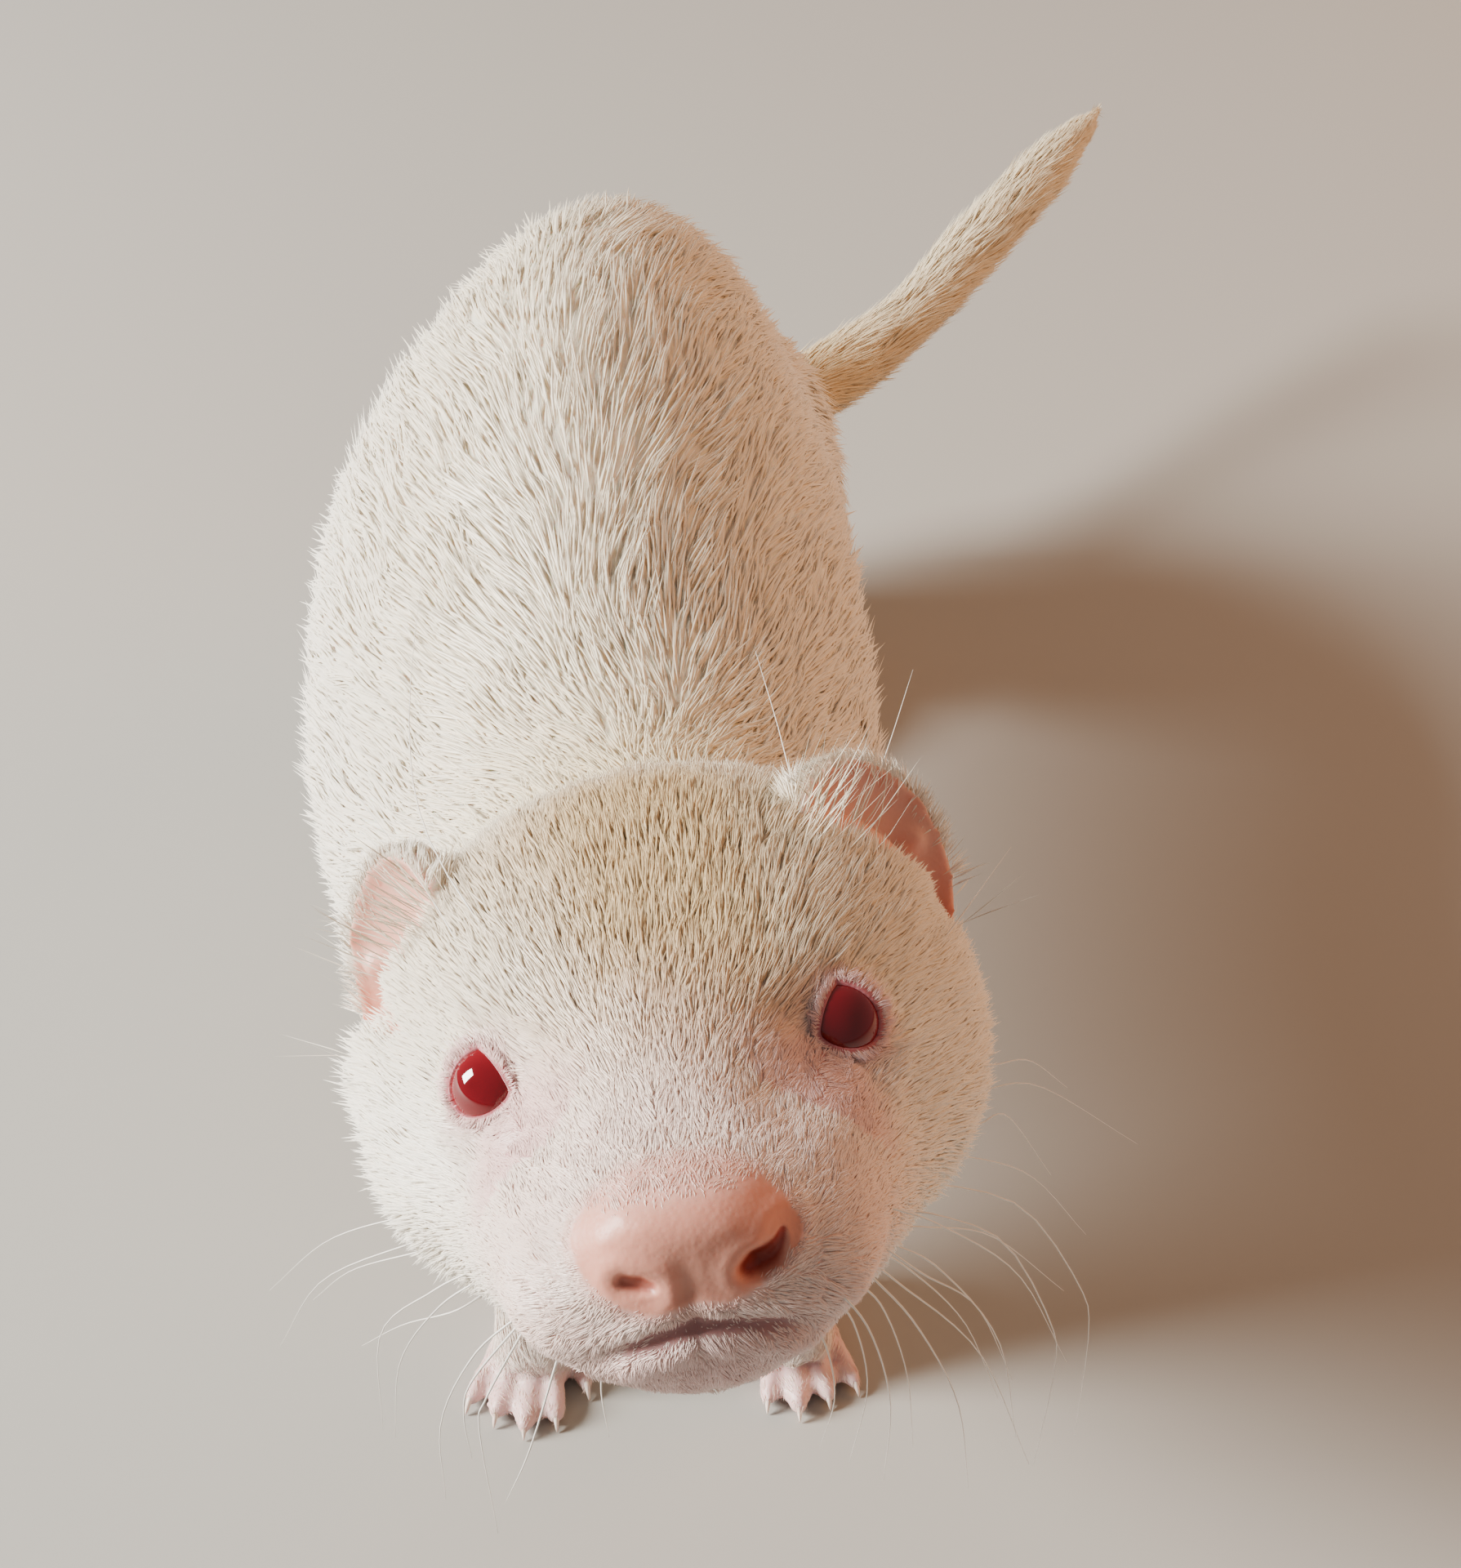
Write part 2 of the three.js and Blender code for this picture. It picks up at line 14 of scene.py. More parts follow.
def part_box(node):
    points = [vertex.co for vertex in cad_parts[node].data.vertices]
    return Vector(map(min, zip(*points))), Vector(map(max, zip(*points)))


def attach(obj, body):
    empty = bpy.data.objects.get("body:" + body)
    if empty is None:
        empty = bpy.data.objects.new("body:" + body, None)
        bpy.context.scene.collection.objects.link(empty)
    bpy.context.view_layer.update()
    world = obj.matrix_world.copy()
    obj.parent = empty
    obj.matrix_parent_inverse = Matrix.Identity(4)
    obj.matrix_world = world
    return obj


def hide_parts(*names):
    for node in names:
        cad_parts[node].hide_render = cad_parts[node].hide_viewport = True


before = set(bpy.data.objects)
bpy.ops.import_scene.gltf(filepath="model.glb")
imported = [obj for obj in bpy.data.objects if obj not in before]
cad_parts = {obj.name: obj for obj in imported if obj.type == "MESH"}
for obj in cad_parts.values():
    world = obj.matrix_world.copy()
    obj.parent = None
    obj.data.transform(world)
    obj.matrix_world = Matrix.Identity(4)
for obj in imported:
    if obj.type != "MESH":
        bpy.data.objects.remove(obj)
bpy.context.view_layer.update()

MM = 0.001

# The point on the floor between the wrists, from which the sizes below are measured.
ORIGIN = np.array([-6.941, -103.618, 0.0])

# The camera's place and downward tilt, and the photo's size and focal length in pixels.
CAMERA_AT = (0, -198, 285)
CAMERA_TILT = 40
PHOTO_WIDTH = 1789
PHOTO_HEIGHT = 1920
FOCAL_PIXELS = 2950

# The head's own frame, with -Y along the muzzle and +X to the animal's left.
HEAD_AT = np.array([-4.7, -50.0, 127.5])
HEAD_PITCH = -32.0
HEAD_ROLL = -9.8
HEAD_YAW = 0.9

EYE_RADIUS = 4.1
EYE_AT = np.array([14.3, -13.0, 4.9])
EYE_AXIS = np.array([0.38, -0.87, 0.31])
# The lids' opening seen along the eye's axis: apex, outer edge, outer corner, floor, inner corner, brow side.
LID_OUTLINE = [
    (0.0, 3.3), (1.35, 2.15), (2.5, 0.3), (2.65, -1.3), (1.85, -2.55), (0.2, -2.65),
    (-1.65, -2.1), (-3.0, -0.95), (-2.35, 0.45), (-1.15, 2.05),
]
LID_PLANE = 3.3
LID_EDGE = 0.17
LID_THICK = 0.46

# The nostril's route in front view, with its half width and depth along it.
NOSTRIL_ROUTE = [(3.7, -5.7), (4.4, -5.4), (5.3, -5.1), (6.1, -4.4), (6.6, -3.6)]
NOSTRIL_WIDTHS = [0.7, 0.98, 0.9, 0.55, 0.3]
NOSTRIL_DEPTHS = [1.2, 1.6, 1.2, 0.6, 0.2]
# The nose is turned a little to its left, as the animal sniffs, and its right nostril is half closed.
NOSE_TURN = 0.9
SMALL_NOSTRIL = 0.55

# The mouth's line in side view, how far it drops beside its middle, and where it ends and is widest open.
MOUTH_LINE = [
    (-46, -9.2), (-37, -9.6), (-31, -11.6), (-25, -13.2), (-19, -12.6), (-15.5, -14.0),
]
MOUTH_DROP = 1.6
MOUTH_CORNER = -17.0
MOUTH_MIDDLE = 0.6
# Hollows and swellings of the face: place on its left side, reach, and height.
FACE_FORMS = [
    ((12.5, -21, 4.5), 4.5, -0.9), ((17.5, -17, -1.5), 4.0, -0.5), ((11, -10, 11.5), 5.0, 0.5),
    ((9.5, -27, 4), 4.0, -0.9), ((10, -31, -7.5), 4.5, 0.6), ((22, -8, -5), 6.0, 0.5),
    ((0, -4, 20), 3.5, -0.25),
]

# Soft patches of the head and, in the last row, of the body: middle, reach by axis, and reach all round.
LEFT_JOWL = (26, -2, -14), (10, 14, 9)
RIGHT_BROW = (-26, 11, 4), 1, 9
CROWN = (0, 8, 22), (20, 14, 10)
CHEEKS = (0, 5, -9), (60, 13, 11)
RIGHT_TUFT = (-26, 11, 3), 1, 9
CROWN_HAIR = (0, 8, 22), (22, 12, 10)
CHIN = (0, -35, -14), (11, 8, 5)
NAPE = (-9, -8, 106), (19, 34, 24)

SKIN_VOXEL = 1.7
PAW_VOXEL = 0.84
EAR_VOXEL = 0.46
# How far the flesh nodes and the eyes are swollen, so that they meet in one skin.
FLESH_SWELL = 0.25
EYE_SWELL = 0.9

EAR_HALF = np.array([9.2, 4.6, 12.2])
EAR_WALL = 1.0
EARS = {
    "left": {"side": 1, "at": (20.2, 10.0, 12.7), "lean": 34, "turn": 42, "notch": 0.4},
    "right": {"side": -1, "at": (-22.9, 11.2, 11.0), "lean": 22, "turn": 48, "notch": 1.0},
}
# The bare notch that runs forward from the lower end of an ear, more open on the right.
EAR_NOTCH = [(27.2, 9.5, 9.0), (22.8, -3.5, 8.5)]
NOTCH_HALF = (2.4, 1.2)

FOREPAW = {"length": 24, "width": 13.2, "height": 10, "toe": 11.5, "radius": 1.75, "claw": 3.0, "turn": 4}
HINDPAW = {"length": 47, "width": 15, "height": 12, "toe": 11, "radius": 2.0, "claw": 3.8, "turn": 5}
CLAW_RADIUS = 0.68
TOES = 5
TOE_FAN = 18
# Each ankle's stations: place, half width, reach back and reach forward.
FORE_ANKLE = [
    ((19.5, 20, 26), 5.4, 5.0, 5.0), ((17.8, 15, 15), 6.0, 5.4, 5.2), ((17.5, 12, 5), 6.0, 5.4, 5.0),
]
HIND_ANKLE = [
    ((27, 4, 23), 5.6, 7.5, 7.0), ((26, 12, 13), 6.0, 7.0, 7.2), ((26, 15, 4), 5.4, 5.4, 6.2),
]
ANKLE_DEPTH = 0.9
FORELEGS_AT = np.array([-9.5, 0.0, 0.0])
HINDLEGS_AT = np.array([-15.0, 172.0, 0.0])
HINDLEGS_TURN = -20.0
FOREPAW_TOE_LINE = {"left": 3, "right": 0}
HIND_HEEL_BACK = 21

SPINE = [
    (-5, -37, 118), (-7, -8, 98), (-11.5, 26, 71), (-19, 71, 62), (-22.5, 122, 63), (-15.5, 168, 57),
    (0, 200, 43),
]
HIP = SPINE[5]
TAIL = [(0, 194, 43), (15, 212, 41.5), (33, 232, 43.5), (51, 256, 50), (66, 276, 56.5), (80, 295.5, 62)]

SIDES = {"left": 1, "right": -1}

FACE = ("head", "lower_jaw", "nose")
TRUNK = ("neck", "chest", "belly", "rump")
BODY_NODES = [*FACE, *TRUNK, "tail_base", "tail_tip", "foreleg_left", "foreleg_right", "hindleg_left",
              "hindleg_right"]
PAW_NODES = ["forepaw_left", "forepaw_right", "hindfoot_left", "hindfoot_right"]
EAR_NODES = ["ear_left", "ear_right"]
ALL_NODES = BODY_NODES + PAW_NODES + EAR_NODES

# By part: how much its flesh is smoothed, how far its skin lies inside the coat's tips, the coat's length,
# how steeply its hairs leave the skin in degrees, and how many layers deep they lie. The face has a depth and
# a length of its own, and paws and ears are smoothed apart.
SMOOTHING, DEPTH, LENGTH, LIFT, LAYERS = range(5)
PARTS = {
    "head": (0.35, 0, 0, 12, 3.3), "lower_jaw": (0.25, 0, 0, 10, 3.0), "nose": (0.1, 0, 0, 10, 2.0),
    "neck": (0.6, 2.0, 7.5, 12, 2.7), "chest": (0.6, 2.1, 10.5, 10, 2.7), "belly": (0.6, 2.3, 11.0, 10, 1.7),
    "rump": (0.6, 1.9, 11.0, 10, 2.7), "tail_base": (0.2, 1.6, 8.5, 11, 4.7),
    "tail_tip": (0.12, 1.2, 8.5, 11, 4.7), "foreleg": (0.6, 1.7, 5.0, 10, 2.1),
    "hindleg": (0.6, 1.9, 7.5, 10, 2.1), "forepaw": (0, 0, 1.5, 10, 1.1), "hindfoot": (0, 0, 2.0, 10, 1.0),
    "ear": (0, 0, 1.9, 13, 2.6),
}


# Small helpers

def rad(degrees):
    return math.radians(degrees)


def turn_matrix(degrees, axis):
    return np.array(Matrix.Rotation(rad(degrees), 3, axis))


HEAD_TURN = turn_matrix(HEAD_YAW, "Z") @ turn_matrix(HEAD_PITCH, "X") @ turn_matrix(HEAD_ROLL, "Y")


def to_head(points):
    return (points - ORIGIN - HEAD_AT) @ HEAD_TURN


def from_head(points):
    return points @ HEAD_TURN.T + HEAD_AT + ORIGIN


def smooth(value, low, high):
    """0 below low, 1 above high, with a soft step between."""
    t = np.clip((np.asarray(value, float) - low) / (high - low), 0, 1)
    return t * t * (3 - 2 * t)


def bell(distance, width):
    return np.exp(-(np.asarray(distance) / width) ** 2)


def lengths(vectors):
    return np.linalg.norm(vectors, axis=1)


def patch(points, middle, size=1, width=1.0):
    """1 in the middle of a soft patch and 0 far from it."""
    return bell(lengths((points - middle) / size), width)


def unit(vectors):
    length = np.linalg.norm(vectors, axis=-1, keepdims=True)
    return vectors / np.maximum(length, 1e-9)


def spline(points, count):
    """Points along a Catmull-Rom curve through the given ones."""
    p = np.asarray(points, float)
    p = np.vstack([2 * p[0] - p[1], p, 2 * p[-1] - p[-2]])
    t = np.linspace(0, len(p) - 3, count)
    i = np.minimum(t.astype(int), len(p) - 4)
    f = (t - i)[:, None]
    a, b, c, d = p[i], p[i + 1], p[i + 2], p[i + 3]
    return 0.5 * (2 * b + (c - a) * f + (2 * a - 5 * b + 4 * c - d) * f**2 + (3 * b - a - 3 * c + d) * f**3)


def linear(hex_colour):
    """An sRGB hex value as a linear colour."""
    channels = [int(hex_colour[i:i + 2], 16) / 255 for i in (1, 3, 5)]
    return [c / 12.92 if c <= 0.04045 else ((c + 0.055) / 1.055) ** 2.4 for c in channels]


def opaque(hex_colour):
    return (*linear(hex_colour), 1)


def link(obj):
    bpy.context.scene.collection.objects.link(obj)
    return obj


def new_object(name, points, faces):
    """A mesh object from points in millimetres."""
    mesh = bpy.data.meshes.new(name)
    mesh.from_pydata((np.asarray(points) * MM).tolist(), [], faces)
    mesh.validate()
    mesh.shade_smooth()
    return link(bpy.data.objects.new(name, mesh))


def values_of(items, key, width, kind=float):
    """The items' values under a key, with a row to each item."""
    values = np.empty(len(items) * width, kind)
    items.foreach_get(key, values)
    return values.reshape(-1, width)


def points_of(obj):
    return values_of(obj.data.vertices, "co", 3) / MM


def normals_of(obj):
    return values_of(obj.data.vertex_normals, "vector", 3)


def edges_of(obj):
    return values_of(obj.data.edges, "vertices", 2, int)


def set_points(obj, points):
    obj.data.vertices.foreach_set("co", (points * MM).ravel())
    obj.data.update()


def tree_of(mesh):
    return BVHTree.FromPolygons([v.co for v in mesh.vertices], [p.vertices for p in mesh.polygons])


def relax(values, edges, strength, rounds):
    """Moves each value towards the mean of its neighbours; strength may differ from point to point."""
    values = np.array(values, float)
    flat = values.reshape(len(values), -1)
    strength = np.broadcast_to(np.asarray(strength, float), len(values))[:, None]
    count = np.maximum(np.bincount(edges.ravel(), minlength=len(values)), 1)[:, None]
    for _ in range(rounds):
        total = np.stack([
            np.bincount(edges[:, 0], flat[edges[:, 1], k], len(values))
            + np.bincount(edges[:, 1], flat[edges[:, 0], k], len(values))
            for k in range(flat.shape[1])
        ], axis=1)
        flat += strength * (total / count - flat)
    return flat.reshape(values.shape)


def baked(obj):
    """Applies the object's modifiers and gives it its final mesh."""
    evaluated = obj.evaluated_get(bpy.context.evaluated_depsgraph_get())
    mesh = bpy.data.meshes.new_from_object(evaluated)
    obj.modifiers.clear()
    old = obj.data
    obj.data = mesh
    bpy.data.meshes.remove(old)
    return obj


def remeshed(obj, voxel):
    modifier = obj.modifiers.new("remesh", "REMESH")
    modifier.mode = "VOXEL"
    modifier.voxel_size = voxel * MM
    return baked(obj)


def join(obj, others, operation="UNION"):
    """Joins other closed meshes to the object, or cuts them out, and removes them."""
    for other in others:
        modifier = obj.modifiers.new("join", "BOOLEAN")
        modifier.object = other
        modifier.operation = operation
        modifier.solver = "MANIFOLD"
    baked(obj)
    for other in others:
        bpy.data.objects.remove(other)


def edited(obj, change):
    """Makes a change to the object's mesh as a bmesh."""
    bm = bmesh.new()
    bm.from_mesh(obj.data)
    change(bm)
    bm.to_mesh(obj.data)
    bm.free()
    return obj


def facing_out(obj):
    return edited(obj, lambda bm: bmesh.ops.recalc_face_normals(bm, faces=bm.faces))


def split_near(obj, near):
    """Divides the faces whose corners all lie near."""
    def split(bm):
        edges = [e for e in bm.edges if near[e.verts[0].index] and near[e.verts[1].index]]
        bmesh.ops.subdivide_edges(bm, edges=edges, cuts=1, use_grid_fill=True)
    edited(obj, split)


# Closed forms, as points and faces

def faces_in(bm):
    return [tuple(v.index for v in f.verts) for f in bm.faces]


def sphere(half, at, around=72, down=48):
    bm = bmesh.new()
    bmesh.ops.create_uvsphere(bm, u_segments=around, v_segments=down, radius=1)
    points, faces = np.array([v.co for v in bm.verts]) * half + at, faces_in(bm)
    bm.free()
    return points, faces


def tube(rings):
    """Rings of equally many points, joined up and closed at both ends."""
    last, sides = len(rings) - 1, len(rings[0])
    faces = []
    for start in range(0, last * sides, sides):
        for i in range(sides):
            j = (i + 1) % sides
            faces.append((start + i, start + j, start + sides + j, start + sides + i))
    faces.append(tuple(range(sides))[::-1])
    faces.append(tuple(range(last * sides, (last + 1) * sides)))
    return np.vstack(rings), faces


def loft(stations, steps, sides, square=2.2):
    """A form through stations of place, half width, reach up and reach down, as in the solid model."""
    centre = spline([s[0] for s in stations], steps + 1)
    sizes = spline([s[1:] for s in stations], steps + 1)
    along = unit(np.gradient(centre, axis=0))
    across = np.array([1.0, 0, 0])
    side = unit(across - along * (along @ across)[:, None])
    rise = np.cross(side, along)
    angle = -2 * np.pi * np.arange(sides) / sides
    c, s = np.cos(angle), np.sin(angle)
    flat_c = np.sign(c) * np.abs(c) ** (2 / square)
    flat_s = np.sign(s) * np.abs(s) ** (2 / square)
    rings = []
    for k in range(steps + 1):
        height = np.where(s > 0, sizes[k, 1], sizes[k, 2]) * flat_s
        rings.append(centre[k] + np.outer(flat_c * sizes[k, 0], side[k]) + np.outer(height, rise[k]))
    return tube(rings)


def merged(forms):
    points, faces, start = [], [], 0
    for p, f in forms:
        points.append(p)
        faces += [tuple(i + start for i in face) for face in f]
        start += len(p)
    return np.vstack(points), faces


# Parts of the skin

def nearest_node(points, names):
    """The index of the named node that each point lies nearest to."""
    best = np.full(len(points), np.inf)
    label = np.zeros(len(points), int)
    for k, name in enumerate(names):
        tree = tree_of(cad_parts[name].data)
        low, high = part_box(name)
        reach = 12.0
        near = np.all((points > np.array(low) / MM - reach) & (points < np.array(high) / MM + reach), axis=1)
        for i in np.nonzero(near)[0]:
            distance = tree.find_nearest(Vector(points[i] * MM))[3] / MM
            if distance < best[i]:
                best[i] = distance
                label[i] = k
    return label


def is_part(label, *names):
    return np.isin(label, [i for i, n in enumerate(ALL_NODES) if n.startswith(names)])


def by_part(column, label):
    """The value in a column of PARTS for each point's node."""
    values = [next(row[column] for part, row in PARTS.items() if name.startswith(part)) for name in ALL_NODES]
    return np.array(values, float)[label]


# Skin: the flesh of the body in one piece

def flesh_forms():
    """The flesh nodes and the eyes, swollen until they meet."""
    for name in BODY_NODES:
        bm = bmesh.new()
        bm.from_mesh(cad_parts[name].data)
        bmesh.ops.remove_doubles(bm, verts=bm.verts, dist=1e-6)
        bm.normal_update()
        yield np.array([v.co + v.normal * FLESH_SWELL * MM for v in bm.verts]) / MM, faces_in(bm)
        bm.free()
    for side in SIDES.values():
        points, faces = sphere([EYE_RADIUS + EYE_SWELL] * 3, EYE_AT * (side, 1, 1), 32, 24)
        yield from_head(points), faces


def body_core():
    """The flesh in one closed skin, smoothed and drawn in by the coat's depth."""
    skin = remeshed(new_object("skin", *merged(flesh_forms())), SKIN_VOXEL)
    points, edges = points_of(skin), edges_of(skin)
    label = nearest_node(points, BODY_NODES)
    strength = by_part(SMOOTHING, label)
    head = to_head(points)
    y = head[:, 1]
    strength = np.where(y < -22, np.minimum(strength, 0.15), strength)
    strength = relax(strength, edges, 0.5, 10)
    points = relax(points, edges, strength, 36)
    on_face = is_part(label, *FACE)
    face_depth = 0.12 + 0.4 * smooth(y, -36, -26) + 0.8 * smooth(y, -24, 6)
    depth = np.where(on_face, face_depth, by_part(DEPTH, label))
    fur = 1.5 * patch(head, *LEFT_JOWL) - 1.3 * patch(head, *RIGHT_BROW) - 1.2 * patch(head, *CROWN)
    depth = depth + on_face * fur
    hip = points - ORIGIN - HIP
    slope = np.degrees(np.arctan2(np.abs(hip[:, 0]), hip[:, 2]))
    depth = depth + 2.2 * bell(slope - 52, 22) * smooth(hip[:, 1], -50, -5)
    low_leg = 1 - smooth(points[:, 2], 16, 34)
    depth = depth + (np.minimum(depth, ANKLE_DEPTH) - depth) * low_leg
    tail_end = lengths(points - ORIGIN - TAIL[-1])
    depth = depth * (0.25 + 0.75 * smooth(tail_end, 2, 22))
    depth = relax(depth, edges, 0.5, 24)
    set_points(skin, points)
    points = points - normals_of(skin) * depth[:, None]
    set_points(skin, relax(points, edges, np.minimum(strength, 0.3), 6))
    return skin


# Paws

def paw_palm(size):
    tall, half = size["height"], size["width"] / 2
    end = -(size["length"] - size["toe"])
    rows = [(1, 0.42, 0.5, 0.36, 0.5), (-3, 0.45, 0.74, 0.52, 0.6), (end * 0.6, 0.4, 0.84, 0.48, 0.6),
            (end, 0.3, 0.9, 0.34, 0.5), (end - 3, 0.22, 0.7, 0.2, 0.4)]
    stations = [((0, y, z * tall), w * half, u * tall, d * tall) for y, z, w, u, d in rows]
    return loft(stations, 18, 28, 2.3)


def toe_rows(size, side):
    """Each toe's root, direction, radius and length, the inner toe first."""
    half = size["width"] / 2
    line = -(size["length"] - size["toe"])
    middle = (TOES - 1) / 2
    for i in range(TOES):
        spread = (i - middle) / middle
        aside = abs(spread)
        inner = 1 if i == 0 else 0
        root = np.array([side * spread * half * 0.8, line + aside * 2.2 + inner * 2.5, 0])
        fan = side * spread * rad(TOE_FAN)
        ahead = np.array([math.sin(fan), -math.cos(fan), 0])
        yield root, ahead, size["radius"] * (1 - 0.12 * aside), size["toe"] * (1 - 0.1 * aside - 0.12 * inner)


def toe_flesh(root, ahead, radius, length):
    rows = [(-4, 1.1, 0.8, 0.9, 1.2), (0, 1.2, 0.92, 1.15, 1.4), (length * 0.3, 1.15, 0.84, 1.0, 1.2),
            (length * 0.6, 1.1, 0.9, 1.0, 1.2), (length * 0.85, 0.95, 0.86, 0.85, 1.1),
            (length * 1.0, 0.85, 0.5, 0.5, 0.7)]
    stations = [(root + ahead * d + np.array([0, 0, z * radius]), w * radius, u * radius, b * radius)
                for d, z, w, u, b in rows]
    return loft(stations, 16, 16, 2.0)


def toe_claw(root, ahead, radius, length, claw):
    """A curved claw that comes out of the toe's end and bends down to just above the floor."""
    rows = [(0, 1.1, 0.8, 1.1, 1.0), (0.35, 1.2, 0.72, 1.0, 0.95), (0.62, 0.92, 0.55, 0.72, 0.75),
            (0.82, 0.52, 0.34, 0.42, 0.45), (0.93, 0.16, 0.1, 0.12, 0.12)]
    stations = [(root + ahead * (length * 0.8 + claw * d) + np.array([0, 0, max(z * radius, 0.25)]),
                 w * CLAW_RADIUS, u * CLAW_RADIUS, b * CLAW_RADIUS) for d, z, w, u, b in rows]
    return loft(stations, 12, 10, 2.0)


def turned(points, degrees, at):
    return points @ turn_matrix(degrees, "Z").T + at


def paw_places():
    """Each paw's ankle, size, side and place on its leg, and the turn and place of its pair of legs."""
    for name, side in SIDES.items():
        toe_line = FOREPAW_TOE_LINE[name] + FOREPAW["length"]
        yield FORE_ANKLE, FOREPAW, side, toe_line, 0.0, FORELEGS_AT
        yield HIND_ANKLE, HINDPAW, side, HIND_HEEL_BACK, HINDLEGS_TURN, HINDLEGS_AT


def paws():
    """The flesh of the four paws, and their claws."""
    flesh, claws = [], []
    for ankle, size, side, back, leg_turn, leg_at in paw_places():
        def on_leg(points, faces):
            return turned(points, leg_turn, leg_at) + ORIGIN, faces

        def on_paw(points, faces):
            at = (side * ankle[-1][0][0], back, 0)
            return on_leg(turned(points, side * size["turn"], at), faces)

        stations = [((side * p[0], p[1], p[2]), w, u, d) for p, w, u, d in ankle]
        flesh.append(on_leg(*loft(stations, 12, 28)))
        flesh.append(on_paw(*paw_palm(size)))
        for toe in toe_rows(size, side):
            flesh.append(on_paw(*toe_flesh(*toe)))
            claws.append(on_paw(*toe_claw(*toe, size["claw"])))
    paw = remeshed(facing_out(new_object("paws", *merged(flesh))), PAW_VOXEL)
    points = relax(points_of(paw), edges_of(paw), 0.4, 4)
    points[:, 2] = np.maximum(points[:, 2], 0.0)
    set_points(paw, points)
    return paw, facing_out(new_object("claws", *merged(claws)))


# Ears

def ear_turn(ear):
    side = ear["side"]
    return turn_matrix(side * ear["turn"], "Z") @ turn_matrix(-side * ear["lean"], "Y")


def ear_hollow(ear):
    """The half sizes of the cup's hollow, and where it lies in the cup."""
    return EAR_HALF - EAR_WALL, (ear["side"] * 0.6, -1.9, 0)


def ear_cup(name):
    """A thin round cup with a rolled rim, an inner fold and the small pocket of its outer edge."""
    ear = EARS[name]
    outer = new_object(f"ear_{name}_cup", *sphere(EAR_HALF, (0, 0, 0)))
    join(outer, [new_object("hollow", *sphere(*ear_hollow(ear)))], "DIFFERENCE")
    cup = remeshed(outer, EAR_VOXEL)
    edges = edges_of(cup)
    points = relax(points_of(cup), edges, 0.5, 5)
    x, z = points[:, 0] * ear["side"], points[:, 2]
    front = smooth(-normals_of(cup)[:, 1], 0.1, 0.6)
    fold = 1.5 * bell(np.hypot(x + 1.0 + 0.18 * z, (z - 1.5) * 0.45), 1.3)
    pocket = 1.2 * bell(np.hypot(x - 6.2, z + 2.5), 1.3)
    points[:, 1] -= front * (fold + pocket)
    points = relax(points, edges, 0.4, 2)
    set_points(cup, from_head(points @ ear_turn(ear).T + ear["at"]))
    return cup


def ear_notch(head):
    """How far each point lies in the notch below an ear, from 0 beside it to 1 at its middle."""
    share = np.zeros(len(head))
    for ear in EARS.values():
        start, end = np.array(EAR_NOTCH) * (ear["side"], 1, 1)
        way = end - start
        along = np.clip((head - start) @ way / (way @ way), 0, 1)
        gap = lengths(head - start - np.outer(along, way))
        half = NOTCH_HALF[0] + (NOTCH_HALF[1] - NOTCH_HALF[0]) * along
        share = np.maximum(share, ear["notch"] * bell(gap, half))
    return share


# Face

def mouth_height(head):
    """How far above the mouth's line each point of the head is."""
    x, y, z = head.T
    line = np.interp(y, *np.array(MOUTH_LINE, float).T)
    return z - line + MOUTH_DROP * (1 - bell(x, 5)) * smooth(-y, 14, 34)


def mouth_open(x):
    """1 at the middle of the mouth, where the lips part, and 0 where they meet under the fur."""
    return smooth(-np.abs(x - MOUTH_MIDDLE), -9.0, -5.0)


def nostril_distance(head):
    """Distance to the nostril's route in its own half widths and in millimetres, and its depth there."""
    route = spline(NOSTRIL_ROUTE, 25)
    share = np.linspace(0, 1, len(route))
    given = np.linspace(0, 1, len(NOSTRIL_WIDTHS))
    widths = np.interp(share, given, NOSTRIL_WIDTHS)
    flat = np.stack([np.abs(head[:, 0] - NOSE_TURN), head[:, 2]], axis=1)
    gaps = np.linalg.norm(flat[:, None, :] - route[None], axis=2)
    small = head[:, 0] < NOSE_TURN
    gaps[np.ix_(small, share > SMALL_NOSTRIL)] = 50
    depth = np.interp(share[gaps.argmin(1)], given, NOSTRIL_DEPTHS) * (1 - 0.5 * small)
    narrow = (1 - 0.35 * small)[:, None]
    return (gaps / (widths * narrow)).min(1), gaps.min(1), depth


def lid_frame(side):
    """An eye's axis, the right and the rise across it, and its centre."""
    axis = unit(EYE_AXIS * (side, 1, 1))
    right = unit(np.cross([0, 0, 1], axis))
    return axis, right, np.cross(axis, right), EYE_AT * (side, 1, 1)


def from_eye(head, side):
    """Points of the head as measured from an eye's centre to its right, up its rise and along its axis."""
    axis, right, rise, centre = lid_frame(side)
    rel = head - centre
    return np.stack([rel @ right, rel @ rise, rel @ axis], axis=1)


def lid_distance(flat, side):
    """Signed distance to the lids' outline, and the nearest point on it."""
    outline = np.array(LID_OUTLINE + LID_OUTLINE[:1]) * (side, 1)
    loop = spline(outline, 161)[:-1]
    gaps = np.linalg.norm(flat[:, None, :] - loop[None], axis=2)
    angle = np.arctan2(loop[:, 1], loop[:, 0])
    order = np.argsort(angle)
    limit = np.interp(np.arctan2(flat[:, 1], flat[:, 0]), angle[order], lengths(loop)[order],
                      period=2 * np.pi)
    return gaps.min(1) * np.sign(lengths(flat) - limit), loop[gaps.argmin(1)]


def eye_gap(head):
    """Distance of each point outside the nearer eye's lids, large away from both eyes."""
    best = np.full(len(head), 50.0)
    for side in SIDES.values():
        q = from_eye(head, side)
        near = np.nonzero((q[:, 2] > 0.4) & (lengths(q) < 14))[0]
        gap, _ = lid_distance(q[near, :2] * LID_PLANE / q[near, 2:], side)
        best[near] = np.minimum(best[near], gap)
    return best


